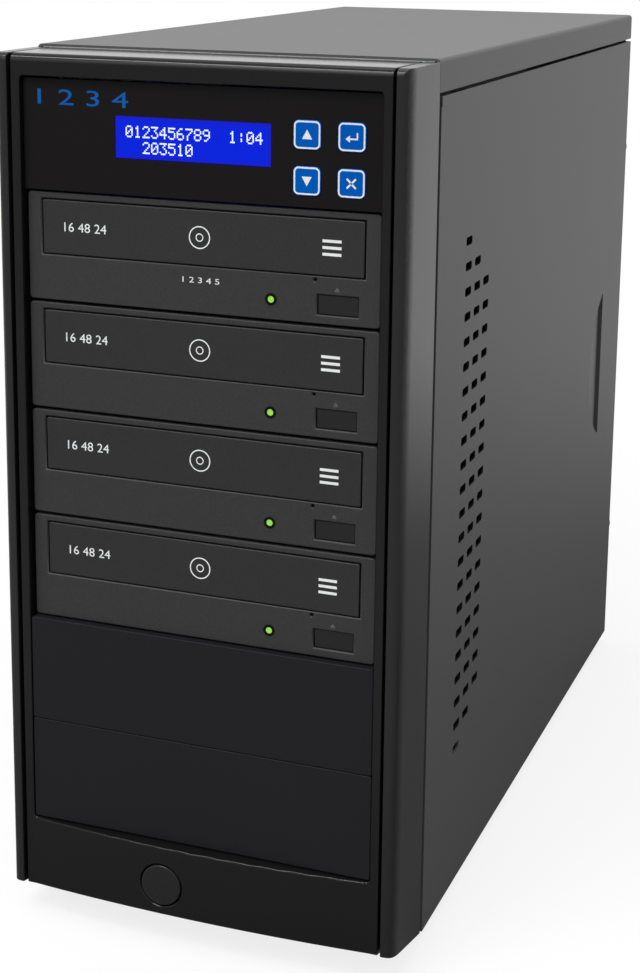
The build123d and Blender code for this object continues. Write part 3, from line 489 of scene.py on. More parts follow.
def circle(x: float, z: float, radius: float, count: int = 40) -> list[Point]:
    """X and Z of points round a circle."""
    turns = [2 * pi * i / count for i in range(count)]
    return [(x + radius * cos(turn), z + radius * sin(turn)) for turn in turns]


def rounded_square(x: float, z: float, half: float, corner: float, steps: int = 6) -> list[Point]:
    """Draws a square with round corners.

    Args:
        x: X of its middle.
        z: Z of its middle.
        half: Half its width.
        corner: The radius of its corners.
        steps: How many stretches make a corner.

    Returns:
        X and Z of the points round it.
    """
    points = []
    reach = half - corner
    for quarter, (sx, sz) in enumerate(((1, 1), (-1, 1), (-1, -1), (1, -1))):
        for i in range(steps + 1):
            turn = pi / 2 * (quarter + i / steps)
            points.append((x + sx * reach + corner * cos(turn), z + sz * reach + corner * sin(turn)))
    return points


@dataclass(frozen=True)
class Print:
    """Printed figures: a thin layer that stands on a surface facing the front."""

    lift: float = 0.03 * MM
    sink: float = 0.05 * MM

    @property
    def depth(self) -> float:
        """The layer's whole thickness."""
        return self.lift + self.sink

    def text(self, piece: Piece, words: str, box: Box, y: float) -> None:
        """Prints plain figures, stretched to fill a box.

        Args:
            piece: What the print is and rides on.
            words: The figures.
            box: Left, right, lower and upper limit.
            y: The surface's Y.
        """
        build = bmesh.new()
        flat = self._flat(piece.name, words)
        build.from_mesh(flat)
        bpy.data.meshes.remove(flat)
        bmesh.ops.remove_doubles(build, verts=build.verts, dist=PRINT_WELD)
        xs = [vert.co.x for vert in build.verts]
        ys = [vert.co.y for vert in build.verts]
        left, right, low, high = box
        wide = (right - left) / (max(xs) - min(xs))
        tall = (high - low) / (max(ys) - min(ys))
        for vert in build.verts:
            across = left + (vert.co.x - min(xs)) * wide
            up = low + (vert.co.y - min(ys)) * tall
            vert.co = Vector((across, y - self.lift, up))
        self._thicken(build)
        piece.add(build)

    def _flat(self, name: str, words: str) -> bpy.types.Mesh:
        """Writes the figures flat, at Blender's own size.

        Args:
            name: The name for the curve.
            words: The figures.

        Returns:
            The flat mesh, in X and Y.
        """
        curve = bpy.data.curves.new(name, "FONT")
        curve.body = words
        curve.resolution_u = 3
        holder = bpy.data.objects.new(name, curve)
        bpy.context.scene.collection.objects.link(holder)
        bpy.context.view_layer.update()
        evaluated = holder.evaluated_get(bpy.context.evaluated_depsgraph_get())
        flat = bpy.data.meshes.new_from_object(evaluated)
        bpy.data.objects.remove(holder)
        bpy.data.curves.remove(curve)
        return flat

    def _thicken(self, build: bmesh.types.BMesh) -> None:
        """Gives a flat layer its thickness and closes it.

        Args:
            build: The layer.
        """
        grown = bmesh.ops.extrude_face_region(build, geom=list(build.faces))
        moved = [item for item in grown["geom"] if isinstance(item, bmesh.types.BMVert)]
        bmesh.ops.translate(build, verts=moved, vec=(0, self.depth, 0))
        bmesh.ops.recalc_face_normals(build, faces=build.faces)


PRINT = Print()


# ---- Geometry Nodes ----
AXIS_OF_SIZE = {"Width": "X", "Depth": "Y", "Height": "Z"}


@dataclass
class Repeater:
    """A Geometry Nodes tree that puts a block, or a given shape, on every given point."""

    name: str
    sizes: dict[str, float]
    shape: bpy.types.Mesh | None = None

    def mesh(self, places: list[Vector], turns: list[Place], finish: Finish) -> bpy.types.Mesh:
        """Runs the tree over a set of points.

        Args:
            places: The middle of each block.
            turns: Its turn as X, Y and Z angles.
            finish: Its finish.

        Returns:
            The blocks as one plain mesh.
        """
        points = bpy.data.meshes.new(self.name)
        points.from_pydata(places, [], [])
        attribute = points.attributes.new("turn", "FLOAT_VECTOR", "POINT")
        for entry, turn in zip(attribute.data, turns):
            entry.vector = turn
        holder = bpy.data.objects.new(self.name, points)
        bpy.context.scene.collection.objects.link(holder)
        source = bpy.data.objects.new(f"{self.name}_shape", self.shape)
        modifier = holder.modifiers.new(self.name, "NODES")
        group = self._group(finish, source)
        modifier.node_group = group
        for item in group.interface.items_tree:
            if item.in_out == "INPUT" and item.name in self.sizes:
                modifier[item.identifier] = self.sizes[item.name]
        bpy.context.view_layer.update()
        evaluated = holder.evaluated_get(bpy.context.evaluated_depsgraph_get())
        made = bpy.data.meshes.new_from_object(evaluated)
        holder.modifiers.remove(modifier)
        bpy.data.objects.remove(holder)
        bpy.data.objects.remove(source)
        bpy.data.node_groups.remove(group)
        return made

    def _group(self, finish: Finish, source: bpy.types.Object) -> bpy.types.GeometryNodeTree:
        """Builds the tree, with one named input for each size.

        Args:
            finish: The finish that the copies get.
            source: The object that holds the shape, where one is given.

        Returns:
            The tree.
        """
        group = bpy.data.node_groups.new(self.name, "GeometryNodeTree")
        sockets = group.interface
        sockets.new_socket(name="Geometry", in_out="INPUT", socket_type="NodeSocketGeometry")
        for label in AXIS_OF_SIZE:
            socket = sockets.new_socket(name=label, in_out="INPUT", socket_type="NodeSocketFloat")
            socket.default_value = self.sizes[label]
        sockets.new_socket(name="Geometry", in_out="OUTPUT", socket_type="NodeSocketGeometry")
        tree = Tree(group)
        given = tree.add("NodeGroupInput")
        size = tree.add("ShaderNodeCombineXYZ")
        for label, axis in AXIS_OF_SIZE.items():
            tree.link(given.outputs[label], size.inputs[axis])
        turn = tree.add("GeometryNodeInputNamedAttribute")
        turn.data_type = "FLOAT_VECTOR"
        turn.inputs["Name"].default_value = "turn"
        copies = tree.add("GeometryNodeInstanceOnPoints")
        tree.link(given.outputs["Geometry"], copies.inputs["Points"])
        tree.link(self._block(tree, source), copies.inputs["Instance"])
        tree.link(size.outputs["Vector"], copies.inputs["Scale"])
        tree.link(turn.outputs["Attribute"], copies.inputs["Rotation"])
        realize = tree.add("GeometryNodeRealizeInstances")
        tree.link(copies.outputs["Instances"], realize.inputs["Geometry"])
        dress = tree.add("GeometryNodeSetMaterial", {"Material": finish.material()})
        tree.link(realize.outputs["Geometry"], dress.inputs["Geometry"])
        tree.link(dress.outputs["Geometry"], tree.add("NodeGroupOutput").inputs["Geometry"])
        return group

    def _block(self, tree: Tree, source: bpy.types.Object) -> Socket:
        """Adds what is repeated: the given shape, or else a cube one unit wide.

        Args:
            tree: The tree it is for.
            source: The object that holds the shape.

        Returns:
            Its geometry.
        """
        if self.shape:
            return tree.add("GeometryNodeObjectInfo", {"Object": source}).outputs["Geometry"]
        return tree.add("GeometryNodeMeshCube").outputs["Mesh"]


# ---- Shell ----
class Side(Enum):
    """The two sides, by the word in the nodes' names."""

    LEFT = "left"
    RIGHT = "right"


@dataclass
class Shell:
    """The bezel, its pillars, the power button, the covers and the side panels."""

    bezel_bevel: float = 0.28 * MM
    slot_field: Box = (-123.0 * MM, -84.0 * MM, 74.0 * MM, 306.0 * MM)
    wall_tilt: float = 0.2

    def build(self) -> None:
        """Makes and dresses the shell."""
        skin("bezel_frame", BEZEL_BLACK, self.bezel_bevel)
        for side in Side:
            skin(f"bezel_pillar_{side.value}", PILLAR_BLACK, self.bezel_bevel)
        skin("power_button", BUTTON_BLACK)
        for node in ("blank_cover_upper", "blank_cover_lower"):
            skin(node, BLANK_PLASTIC)
        skin("top_cover", CASE_PAINT)
        for side in Side:
            self._shade_slots(skin(f"side_panel_{side.value}", CASE_PAINT))

    def _shade_slots(self, panel: bpy.types.Object) -> None:
        """Darkens the walls of the vents, where little light gets in.

        Args:
            panel: The side panel's skin.
        """
        near, far, low, high = self.slot_field
        panel.data.materials.append(SLOT_SHADE.material())
        for face in panel.data.polygons:
            inside = near < face.center.y < far and low < face.center.z < high
            if inside and abs(face.normal.x) < self.wall_tilt:
                face.material_index = 1


# ---- Control panel ----
class Key(Enum):
    """The four keys, by node."""

    UP = "key_up"
    DOWN = "key_down"
    ENTER = "key_enter"
    ESCAPE = "key_escape"


DOTS_OF = {
    "0": ("01110", "10001", "10011", "10101", "11001", "10001", "01110"),
    "1": ("00100", "01100", "00100", "00100", "00100", "00100", "01110"),
    "2": ("01110", "10001", "00001", "00010", "00100", "01000", "11111"),
    "3": ("11111", "00010", "00100", "00010", "00001", "10001", "01110"),
    "4": ("00010", "00110", "01010", "10010", "11111", "00010", "00010"),
    "5": ("11111", "10000", "11110", "00001", "00001", "10001", "01110"),
    "6": ("00110", "01000", "10000", "11110", "10001", "10001", "01110"),
    "7": ("11111", "00001", "00010", "00100", "01000", "01000", "01000"),
    "8": ("01110", "10001", "10001", "01110", "10001", "10001", "01110"),
    "9": ("01110", "10001", "10001", "01111", "00001", "00010", "01100"),
    ":": ("00000", "00100", "00100", "00000", "00100", "00100", "00000"),
}


@dataclass
class ControlPanel:
    """The faceplate with its display, keys and figures. Heights count from its middle."""

    figures: Box = (-67.3 * MM, -28.6 * MM, 11.6 * MM, 17.6 * MM)
    display_middle: Point = (-2.4 * MM, 0.5 * MM)
    display_half: Point = (31.7 * MM, 7.8 * MM)
    rim: float = 1.2 * MM
    rim_lift: float = 0.01 * MM
    glass_lift: float = 0.02 * MM
    glass_depth: float = 0.1 * MM
    text_left: float = -29.9 * MM
    line_tops: Point = (5.15 * MM, -0.85 * MM)
    pitch: float = 3.55 * MM
    dot_pitch: Point = (0.6 * MM, 0.65 * MM)
    dot_size: Place = (0.54 * MM, 0.05 * MM, 0.59 * MM)
    outline_half: float = 5.15 * MM
    outline_corner: float = 1.9 * MM
    outline_width: float = 0.62 * MM
    key_print_depth: float = 0.06 * MM
    cross_half: Point = (2.5, 0.36)
    lines: tuple[str, str] = ("0123456789  1:04", "  203510")

    @property
    def middle(self) -> float:
        """Z of the faceplate's middle."""
        low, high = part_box("control_faceplate")
        return (low.z + high.z) / 2

    def build(self) -> None:
        """Makes and dresses the panel."""
        skin("control_faceplate", PANEL_PLASTIC)
        self._display()
        self._dots()
        for key in Key:
            skin(key.value, KEY_BLUE)
            self._legend(key)
        left, right, low, high = self.figures
        piece = Piece("panel_figures", "chassis", "faceplate_plastic", PRINT_BLUE)
        box = (left, right, self.middle + low, self.middle + high)
        PRINT.text(piece, "1 2 3 4", box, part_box("control_faceplate")[0].y)

    def _display(self) -> None:
        """Makes the display's lit face and its dim rim."""
        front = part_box("lcd_module")[0].y
        x, up = self.display_middle
        z = self.middle + up
        half_x, half_z = self.display_half
        outer = rectangle(x - half_x, x + half_x, z - half_z, z + half_z)
        half_x -= self.rim
        half_z -= self.rim
        inner = rectangle(x - half_x, x + half_x, z - half_z, z + half_z)
        lit = bmesh.new()
        plate(lit, inner, front - self.glass_lift, self.glass_depth)
        Piece("display_glass", "chassis", "display_blue", DISPLAY_BLUE).add(lit)
        rim = bmesh.new()
        ring(rim, outer, inner, front - self.rim_lift, self.glass_depth)
        Piece("display_rim", "chassis", "display_blue", DISPLAY_RIM).add(rim)

    def _dots(self) -> None:
        """Makes the lit dots of the display's two lines."""
        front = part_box("lcd_module")[0].y - PRINT.lift
        middle = self.middle
        wide, tall = self.dot_pitch
        places = []
        for line, top in zip(self.lines, self.line_tops):
            for column, character in enumerate(line):
                left = self.text_left + column * self.pitch
                for row, bits in enumerate(DOTS_OF.get(character, ())):
                    z = middle + top - (row + 0.5) * tall
                    for dot, bit in enumerate(bits):
                        if bit == "1":
                            places.append(Vector((left + (dot + 0.5) * wide, front, z)))
        dots = Repeater("display_dots", dict(zip(AXIS_OF_SIZE, self.dot_size)))
        mesh = dots.mesh(places, [(0.0, 0.0, 0.0)] * len(places), DOT_WHITE)
        Piece("display_dots", "chassis", "display_blue", DOT_WHITE).add_mesh(mesh)

    def _legend(self, key: Key) -> None:
        """Prints a key's outline and mark.

        Args:
            key: Which key.
        """
        low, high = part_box(key.value)
        x = (low.x + high.x) / 2
        z = (low.z + high.z) / 2
        front = low.y - PRINT.lift
        outer = rounded_square(x, z, self.outline_half, self.outline_corner)
        inner = rounded_square(
            x, z, self.outline_half - self.outline_width, self.outline_corner - self.outline_width
        )
        build = bmesh.new()
        ring(build, outer, inner, front, self.key_print_depth)
        for shape in self._mark(key):
            outline = [(x + across * MM, z + up * MM) for across, up in shape]
            plate(build, outline, front, self.key_print_depth)
        Piece(f"{key.value}_print", BODY_OF[key.value], "key_blue", PRINT_WHITE).add(build)

    def _mark(self, key: Key) -> list[list[Point]]:
        """Draws a key's mark: an arrow, a return arrow or a cross.

        Args:
            key: Which key.

        Returns:
            The mark's outlines, in millimetres from the key's middle.
        """
        if key is Key.UP:
            return [[(-2.0, -1.6), (2.0, -1.6), (0.0, 1.9)]]
        if key is Key.DOWN:
            return [[(-2.0, 1.6), (0.0, -1.9), (2.0, 1.6)]]
        if key is Key.ENTER:
            head = [(-0.75, -2.0), (-0.75, 0.6), (-2.5, -0.7)]
            return [rectangle(-0.7, 2.4, -1.0, -0.4), rectangle(1.8, 2.4, -0.35, 1.6), head]
        long, thick = self.cross_half
        bars = []
        for turn in (pi / 4, -pi / 4):
            bar = rectangle(-long, long, -thick, thick)
            bars.append(
                [(a * cos(turn) - b * sin(turn), a * sin(turn) + b * cos(turn)) for a, b in bar]
            )
        return bars


# ---- Disc drives ----
@dataclass
class Drive:
    """One drive's front. Heights count from the lower edge of its bezel."""

    number: int
    edge_bevel: float = 0.42 * MM
    light: Point = (29.6 * MM, 7.8 * MM)
    collar_outer: float = 2.35 * MM
    collar_inner: float = 1.3 * MM
    collar_rise: float = 0.2 * MM
    collar_depth: float = 0.3 * MM
    door_figures: Box = (-57.2 * MM, -39.0 * MM, 27.6 * MM, 31.2 * MM)
    disc_sign: Point = (0.3 * MM, 29.2 * MM)
    disc_rings: tuple[Point, ...] = ((4.4 * MM, 3.95 * MM), (1.6 * MM, 1.2 * MM))
    bar: Box = (50.0 * MM, 57.5 * MM, 26.0 * MM, 27.1 * MM)
    bar_pitch: float = 2.5 * MM
    bars: int = 3
    eject_sign: Point = (56.0 * MM, 13.2 * MM)
    eject_sign_half: float = 0.9 * MM
    eject_sign_height: float = 1.0 * MM
    eject_bar: Point = (-0.55 * MM, -0.25 * MM)
    front_figures: Box = (-6.8 * MM, 8.5 * MM, 11.6 * MM, 13.8 * MM)

    @property
    def name(self) -> str:
        """The start of the names of the drive's nodes."""
        return f"drive_{self.number}"

    @property
    def corner(self) -> Vector:
        """The bezel's front, lower and left limit."""
        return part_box(f"{self.name}_bezel")[0]

    def build(self) -> None:
        """Makes and dresses the drive's front."""
        skin(f"{self.name}_bezel", DRIVE_PLASTIC, self.edge_bevel)
        skin(f"{self.name}_tray_front", DOOR_PLASTIC, self.edge_bevel)
        skin(f"{self.name}_eject_button", EJECT_PLASTIC, self.edge_bevel)
        self._collar()
        self._door_marks()
        self._eject_sign()
        if self.number == 1:
            piece = Piece("drive_1_figures", "chassis", "drive_plastic", PRINT_WHITE)
            PRINT.text(piece, "1 2 3 4 5", self._raised(self.front_figures), self.corner.y)

    def _raised(self, box: Box) -> Box:
        """A box over the bezel's lower edge, in the object's own heights."""
        left, right, low, high = box
        return (left, right, self.corner.z + low, self.corner.z + high)

    def _collar(self) -> None:
        """Makes the dark collar round the light."""
        x, up = self.light
        z = self.corner.z + up
        build = bmesh.new()
        ring(
            build, circle(x, z, self.collar_outer), circle(x, z, self.collar_inner),
            self.corner.y - self.collar_rise, self.collar_depth,
        )
        Piece(f"{self.name}_light_ring", "chassis", "drive_plastic", RING_BLACK).add(build)

    def _door_marks(self) -> None:
        """Prints figures, a disc sign and bars on the tray's door."""
        body = BODY_OF[f"{self.name}_tray_front"]
        figures = Piece(f"{self.name}_door_figures", body, "drive_plastic", PRINT_WHITE)
        PRINT.text(figures, "16 48 24", self._raised(self.door_figures), self.corner.y)
        front = self.corner.y - PRINT.lift
        x, up = self.disc_sign
        z = self.corner.z + up
        build = bmesh.new()
        for outer, inner in self.disc_rings:
            ring(build, circle(x, z, outer), circle(x, z, inner), front, PRINT.depth)
        left, right, low, high = self._raised(self.bar)
        for row in range(self.bars):
            rise = row * self.bar_pitch
            plate(build, rectangle(left, right, low + rise, high + rise), front, PRINT.depth)
        Piece(f"{self.name}_door_signs", body, "drive_plastic", PRINT_WHITE).add(build)

    def _eject_sign(self) -> None:
        """Prints the small sign over the eject button."""
        front = self.corner.y - PRINT.lift
        x, up = self.eject_sign
        z = self.corner.z + up
        left, right = x - self.eject_sign_half, x + self.eject_sign_half
        low, high = self.eject_bar
        build = bmesh.new()
        arrow = [(left, z), (right, z), (x, z + self.eject_sign_height)]
        plate(build, arrow, front, PRINT.depth)
        plate(build, rectangle(left, right, z + low, z + high), front, PRINT.depth)
        Piece(f"{self.name}_eject_sign", "chassis", "drive_plastic", PRINT_GREY).add(build)


# ---- Fasteners and rear ----
@dataclass
class ThumbScrews:
    """The knurled heads of one side panel's thumb screws."""

    side: Side
    ribs: int = 28
    rib_size: Place = (0.7 * MM, 5.4 * MM, 0.55 * MM)
    rib_sink: float = 0.2 * MM
    head_length: float = 7.0 * MM

    def build(self) -> None:
        """Makes and dresses the screws and their ribs."""
        node = f"thumb_screws_{self.side.value}"
        skin(node, THUMB_BLACK)
        low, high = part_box(node)
        radius = (high.x - low.x) / 2
        reach = radius - self.rib_sink
        x = (low.x + high.x) / 2
        y = high.y - self.head_length / 2
        places = []
        turns = []
        for z in (low.z + radius, high.z - radius):
            for rib in range(self.ribs):
                turn = 2 * pi * rib / self.ribs
                places.append(Vector((x + reach * cos(turn), y, z + reach * sin(turn))))
                turns.append((0.0, -turn, 0.0))
        repeater = Repeater("ribs", dict(zip(AXIS_OF_SIZE, self.rib_size)))
        mesh = repeater.mesh(places, turns, THUMB_BLACK)
        Piece(f"{node}_ribs", BODY_OF[node], "thumb_plastic", THUMB_BLACK).add_mesh(mesh)


@dataclass
class MachineScrews:
    """The machine screws, each with a cross recess in its head."""

    head: float = 3.0 * MM
    shank: float = 1.45 * MM
    head_height: float = 2.0 * MM
    edge: tuple[Point, ...] = ((1.0, -1.0), (1.0, -0.3), (0.93, -0.1), (0.8, 0.0))
    arm: float = 1.6 * MM
    blade: float = 0.38 * MM
    recess: float = 1.2 * MM
    recess_end: float = 0.6
    angles: tuple[float, ...] = (0.0, 13.4, 24.0, 34.0, 45.0, 56.0, 66.0, 76.6)

    def build(self) -> None:
        """Makes one screw and puts it in every screw's place."""
        places, turns, length = self._places()
        sizes = {"Width": 1.0, "Depth": 1.0, "Height": 1.0}
        repeater = Repeater("machine_screws", sizes, self._screw(length))
        build = bmesh.new()
        build.from_mesh(repeater.mesh(places, turns, SCREW_STEEL))
        obj = Piece("machine_screws_cross", "chassis", "screw_steel", SCREW_STEEL).add(build)
        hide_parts("machine_screws")

    def _places(self) -> tuple[list[Vector], list[Place], float]:
        """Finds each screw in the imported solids.

        Returns:
            The middle of each head's face, the turn from +Z to its axis, and a screw's length.
        """
        build = bmesh.new()
        build.from_mesh(frame["nodes"]["machine_screws"].data)
        bmesh.ops.remove_doubles(build, verts=build.verts, dist=WELD)
        places = []
        turns = []
        length = 0.0
        left = set(build.verts)
        while left:
            screw = self._take_screw(left)
            low = Vector([min(vert.co[i] for vert in screw) for i in range(3)])
            high = Vector([max(vert.co[i] for vert in screw) for i in range(3)])
            middle = (low + high) / 2
            size = high - low
            length = max(size)
            if size.x > size.y:
                side = 1.0 if middle.x > 0 else -1.0
                places.append(middle + Vector((side * size.x / 2, 0, 0)))
                turns.append((0.0, side * pi / 2, 0.0))
            else:
                places.append(middle + Vector((0, size.y / 2, 0)))
                turns.append((-pi / 2, 0.0, 0.0))
        build.free()
        return places, turns, length

    def _take_screw(self, left: set[bmesh.types.BMVert]) -> set[bmesh.types.BMVert]:
        """Takes the corners of one whole screw out of a set.

        Args:
            left: The corners that are left; the screw's are removed from it.

        Returns:
            The screw's corners.
        """
        screw = set()
        reached = [left.pop()]
        while reached:
            vert = reached.pop()
            screw.add(vert)
            for link in vert.link_edges:
                other = link.other_vert(vert)
                if other in left:
                    left.remove(other)
                    reached.append(other)
        return screw

    def _screw(self, length: float) -> bpy.types.Mesh:
        """Makes one screw along -Z, with the head's face at Z = 0.

        Args:
            length: Its whole length.

        Returns:
            The mesh.
        """
        turns = [radians(90 * quarter + angle) for quarter in range(4) for angle in self.angles]
        build = bmesh.new()
        loops = []
        profile = [(self.shank, -length), (self.shank, -self.head_height)]
        profile += [(out * self.head, up * self.head_height) for out, up in self.edge]
        for radius, z in profile:
            loops.append([build.verts.new((radius * cos(a), radius * sin(a), z)) for a in turns])
        for scale, z in ((1.0, 0.0), (self.recess_end, -self.recess)):
            reach = [scale * self._cross(a) for a in turns]
            loops.append(
                [build.verts.new((r * cos(a), r * sin(a), z)) for r, a in zip(reach, turns)]
            )
        for here, there in zip(loops, loops[1:]):
            band(build, here, there)
        build.faces.new(list(reversed(loops[0])))
        build.faces.new(loops[-1])
        bmesh.ops.recalc_face_normals(build, faces=build.faces)
        mesh = bpy.data.meshes.new("screw")
        build.to_mesh(mesh)
        build.free()
        return mesh

    def _cross(self, turn: float) -> float:
        """How far the cross recess reaches from its middle.

        Args:
            turn: The direction, as an angle.

        Returns:
            The distance.
        """
        across = max(abs(cos(turn)), 1e-6)
        along = max(abs(sin(turn)), 1e-6)
        level = min(self.arm / across, self.blade / along)
        upright = min(self.blade / across, self.arm / along)
        return max(level, upright)


@dataclass
class MainsInlet:
    """The metal pins of the mains socket and the marks on the rocker beside it."""

    pins: tuple[Point, ...] = ((-7.0 * MM, -17.0 * MM), (7.0 * MM, -17.0 * MM), (0.0, -13.0 * MM))
    pin_half: Point = (1.03 * MM, 2.03 * MM)
    socket_depth: float = 15.0 * MM
    pin_length: float = 10.53 * MM
    rocker_rise: float = 15.0 * MM
    pivot_depth: float = 3.6 * MM
    tilt: float = 8.0
    rocker_depth: float = 3.2 * MM
    rocker_half: float = 9.2 * MM
    bar_half: Point = (0.45 * MM, 1.9 * MM)
    ring_outer: float = 2.0 * MM
    ring_inner: float = 1.35 * MM
    ring_points: int = 28

    @property
    def face(self) -> Vector:
        """The middle of the inlet's rear face."""
        low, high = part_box("power_inlet")
        return Vector(((low.x + high.x) / 2, high.y, (low.z + high.z) / 2))

    def build(self) -> None:
        """Makes the pins and the marks."""
        face = self.face
        half_x, half_z = self.pin_half
        build = bmesh.new()
        for across, up in self.pins:
            x, z = face.x + across, face.z + up
            outline = rectangle(x - half_x, x + half_x, z - half_z, z + half_z)
            plate(build, outline, face.y - self.socket_depth, self.pin_length)
        Piece("mains_pins", "chassis", "zinc_steel", SCREW_STEEL).add(build)
        self._marks()

    def _marks(self) -> None:
        """Prints a bar and a ring on the two halves of the rocker."""
        half_x, half_z = self.bar_half
        marks = bmesh.new()
        plate(marks, rectangle(-half_x, half_x, -half_z, half_z), -PRINT.lift, PRINT.depth)
        self._lay(list(marks.verts), 1.0)
        before = set(marks.verts)
        outer = circle(0, 0, self.ring_outer, self.ring_points)
        inner = circle(0, 0, self.ring_inner, self.ring_points)
        ring(marks, outer, inner, -PRINT.lift, PRINT.depth)
        self._lay([vert for vert in marks.verts if vert not in before], -1.0)
        bmesh.ops.recalc_face_normals(marks, faces=marks.faces)
        Piece("rocker_marks", "rocker_body", "switch_plastic", PRINT_WHITE).add(marks)

    def _lay(self, verts: list[bmesh.types.BMVert], half: float) -> None:
        """Lays a flat mark on one half of the rocker's face.

        Args:
            verts: The mark's corners, built round the origin with X across and Z up.
            half: 1 for the upper half, -1 for the lower.
        """
        slope = Vector((0.0, self.rocker_depth / 2, half * self.rocker_half)).normalized()
        outward = Vector((0.0, slope.z, -slope.y)) * half
        start = Vector((0.0, 0.75 * self.rocker_depth, half * self.rocker_half / 2))
        turn = Matrix.Rotation(radians(self.tilt), 3, "X")
        pivot = self.face + Vector((0.0, -self.pivot_depth, self.rocker_rise))
        for vert in verts:
            across, out, up = vert.co
            flat = start + Vector((across, 0, 0)) + slope * half * up - outward * out
            vert.co = pivot + turn @ flat


@dataclass
class Inside:
    """The CAD nodes' own meshes, which show wherever no stand-in replaces them."""

    def build(self) -> None:
        """Gives each node its slot's finish."""
        for node, obj in frame["nodes"].items():
            obj.data.materials.clear()
            obj.data.materials.append(FINISH_OF_SLOT[SLOT_OF[node]].material())


# ---- Studio ----
@dataclass(frozen=True)
class Lamp:
    """A soft area lamp: where it hangs, the point it faces, its size, watts and beam in degrees."""

    name: str
    place: Place
    aim: Place
    size: Point
    watts: float
    beam: float = 180.0

    def hang(self) -> None:
        """Adds the lamp to the scene."""
        lamp = bpy.data.lights.new(self.name, "AREA")
        lamp.shape = "RECTANGLE"
        lamp.size, lamp.size_y = self.size
        lamp.energy = self.watts
        lamp.spread = radians(self.beam)
        obj = bpy.data.objects.new(self.name, lamp)
        obj.location = self.place
        towards = Vector(self.aim) - Vector(self.place)
        obj.rotation_euler = towards.to_track_quat("-Z", "Y").to_euler()
        bpy.context.scene.collection.objects.link(obj)


LAMPS = (
    Lamp("lamp_top", (0.2, 0.1, 1.9), (0.0, 0.0, 0.36), (1.4, 1.4), 11.0),
    Lamp("lamp_front", (-0.7, -1.9, 1.3), (0.0, -0.2, 0.3), (1.2, 1.2), 4.0),
    Lamp("lamp_strip", (-0.4, -1.0, 1.6), (0.0, -0.2, 0.36), (1.2, 0.12), 12.0),
    Lamp("lamp_floor", (-0.2, -0.9, 0.8), (0.0, -0.55, 0.0), (0.5, 0.5), 1.0, 80.0),
)


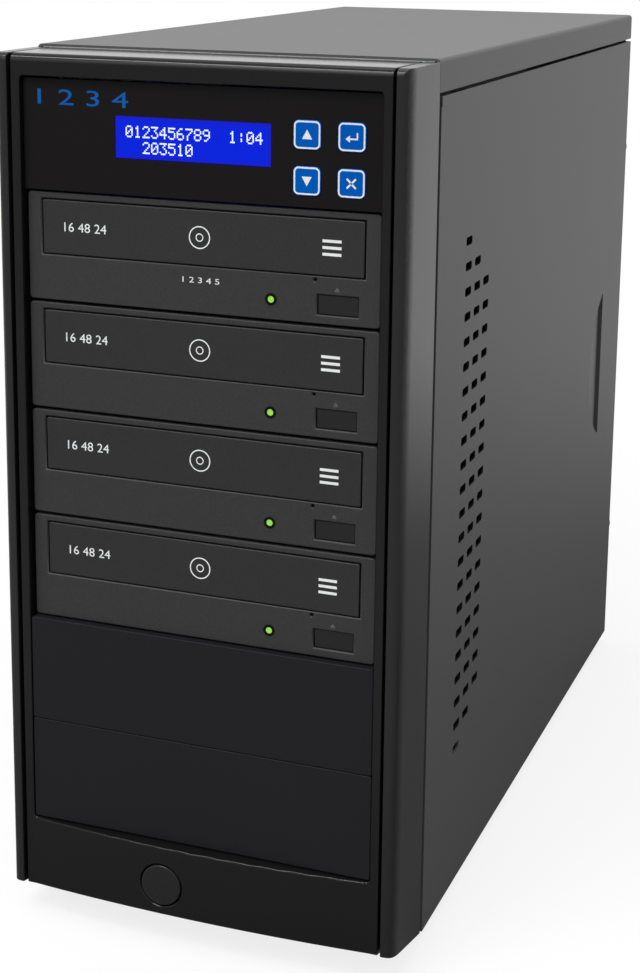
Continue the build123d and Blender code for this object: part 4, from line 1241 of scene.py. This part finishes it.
@dataclass
class Studio:
    """Floor, soft lights, white surroundings and the camera. Distances in metres."""

    camera_place: Place = (286.39 * MM, -829.59 * MM, 414.74 * MM)
    yaw: float = -20.45
    pitch: float = -11.68
    roll: float = 0.65
    focal_px: float = 1864.82
    principal: Point = (320.0, 300.0)
    sensor: float = 36.0
    sight: float = 200.0
    world_light: float = 0.6
    floor_half: float = 40.0
    floor_grey: float = 0.22
    floor_pale: float = 0.92
    floor_roughness: float = 0.9
    floor_specular: float = 0.1
    white_reach: Point = (0.2, 0.7)
    white_share: Point = (0.81, 1.0)
    mirror_reach: Point = (0.4, 0.95)
    mirror_share: Point = (0.0, 0.9)
    front_reach: Point = (-0.45, -0.15)
    front_share: float = 0.5

    def build(self) -> None:
        """Makes the stage."""
        self._world()
        self._floor()
        for lamp in LAMPS:
            lamp.hang()
        self._camera()
        bpy.context.scene.view_settings.view_transform = "Standard"

    def _world(self) -> None:
        """Makes the surroundings: white to the camera and in reflections, grey as a light."""
        world = bpy.data.worlds.new("studio")
        bpy.context.scene.world = world
        world.use_nodes = True
        tree = Tree(world.node_tree)
        background = world.node_tree.nodes["Background"]
        background.inputs["Color"].default_value = (1.0, 1.0, 1.0, 1.0)
        path = tree.add("ShaderNodeLightPath").outputs
        through = tree.maths("MAXIMUM", path["Is Camera Ray"], path["Is Transmission Ray"])
        shown = tree.maths("MAXIMUM", through, path["Is Glossy Ray"])
        strength = tree.spread(shown, made=(self.world_light, 1.0))
        tree.link(strength, background.inputs["Strength"])

    def _floor(self) -> None:
        """Makes a pale floor, which isn't part of the object."""
        half = self.floor_half
        corners = [(x, y, 0.0) for x, y in rectangle(-half, half, -half, half)]
        mesh = bpy.data.meshes.new("floor")
        mesh.from_pydata(corners, [], [range(len(corners))])
        mesh.materials.append(self._floor_paint())
        floor = bpy.data.objects.new("floor", mesh)
        bpy.context.scene.collection.objects.link(floor)

    def _floor_paint(self) -> bpy.types.Material:
        """Makes the floor's paint: it keeps the object's shadow and fades to white further out.

        The camera sees a paler floor than the one that sends light back to the object.

        Returns:
            The material.
        """
        material = bpy.data.materials.new("floor_pale")
        material.use_nodes = True
        tree = Tree(material.node_tree)
        path = tree.add("ShaderNodeLightPath").outputs
        place = tree.add("ShaderNodeTexCoord").outputs["Object"]
        length = tree.add("ShaderNodeVectorMath", operation="LENGTH")
        tree.link(place, length.inputs[0])
        distance = length.outputs["Value"]

        shader = material.node_tree.nodes["Principled BSDF"]
        tree.fill(
            shader,
            {"Roughness": self.floor_roughness, "Specular IOR Level": self.floor_specular},
        )
        paint = tree.spread(path["Is Camera Ray"], made=(self.floor_grey, self.floor_pale))
        tree.link(paint, shader.inputs["Base Color"])

        white = tree.spread(distance, self.white_reach, self.white_share)
        seen = tree.maths("MULTIPLY", path["Is Camera Ray"], white)
        mirrored = tree.maths("MULTIPLY", path["Is Glossy Ray"], self._sheen(tree, place, distance))
        mix = tree.add("ShaderNodeMixShader")
        tree.link(tree.maths("MAXIMUM", seen, mirrored), mix.inputs["Fac"])
        tree.link(shader.outputs["BSDF"], mix.inputs[1])
        tree.link(tree.add("ShaderNodeEmission").outputs["Emission"], mix.inputs[2])
        output = material.node_tree.nodes["Material Output"]
        tree.link(mix.outputs["Shader"], output.inputs["Surface"])
        return material

    def _sheen(self, tree: Tree, place: Socket, distance: Socket) -> Socket:
        """Adds how white the floor is in a reflection: even in front, by distance elsewhere.

        Args:
            tree: The floor's tree.
            place: Where on the floor it is.
            distance: How far out that is.

        Returns:
            The share of white.
        """
        axes = tree.add("ShaderNodeSeparateXYZ")
        tree.link(place, axes.inputs["Vector"])
        sheen = tree.add("ShaderNodeMix", {"A": self.front_share})
        tree.link(tree.spread(axes.outputs["Y"], self.front_reach), sheen.inputs["Factor"])
        tree.link(tree.spread(distance, self.mirror_reach, self.mirror_share), sheen.inputs["B"])
        return sheen.outputs["Result"]

    def _camera(self) -> None:
        """Stands the camera where the photograph was taken."""
        yaw, pitch, roll = (radians(angle) for angle in (self.yaw, self.pitch, self.roll))
        forward = Vector((sin(yaw) * cos(pitch), cos(yaw) * cos(pitch), sin(pitch)))
        right = Vector((cos(yaw), -sin(yaw), 0.0))
        up = right.cross(forward)
        turned_right = right * cos(roll) + up * sin(roll)
        turned_up = up * cos(roll) - right * sin(roll)
        wide, tall = IMAGE_SIZE
        data = bpy.data.cameras.new("camera")
        data.sensor_width = self.sensor
        data.lens = self.focal_px * data.sensor_width / tall
        data.shift_x = (wide / 2 - self.principal[0]) / tall
        data.shift_y = (self.principal[1] - tall / 2) / tall
        data.clip_end = self.sight
        camera = bpy.data.objects.new("camera", data)
        turn = Matrix((turned_right, turned_up, -forward)).transposed().to_4x4()
        camera.matrix_world = Matrix.Translation(self.camera_place) @ turn
        bpy.context.scene.collection.objects.link(camera)
        bpy.context.scene.camera = camera


def build_scene() -> None:
    """Builds every part of the scene in order."""
    logging.basicConfig(level=logging.INFO)
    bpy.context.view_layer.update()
    Inside().build()
    Shell().build()
    ControlPanel().build()
    for number in range(1, 5):
        Drive(number).build()
    for side in Side:
        ThumbScrews(side).build()
    MachineScrews().build()
    MainsInlet().build()
    Studio().build()


if __name__ == "__main__":
    build_scene()
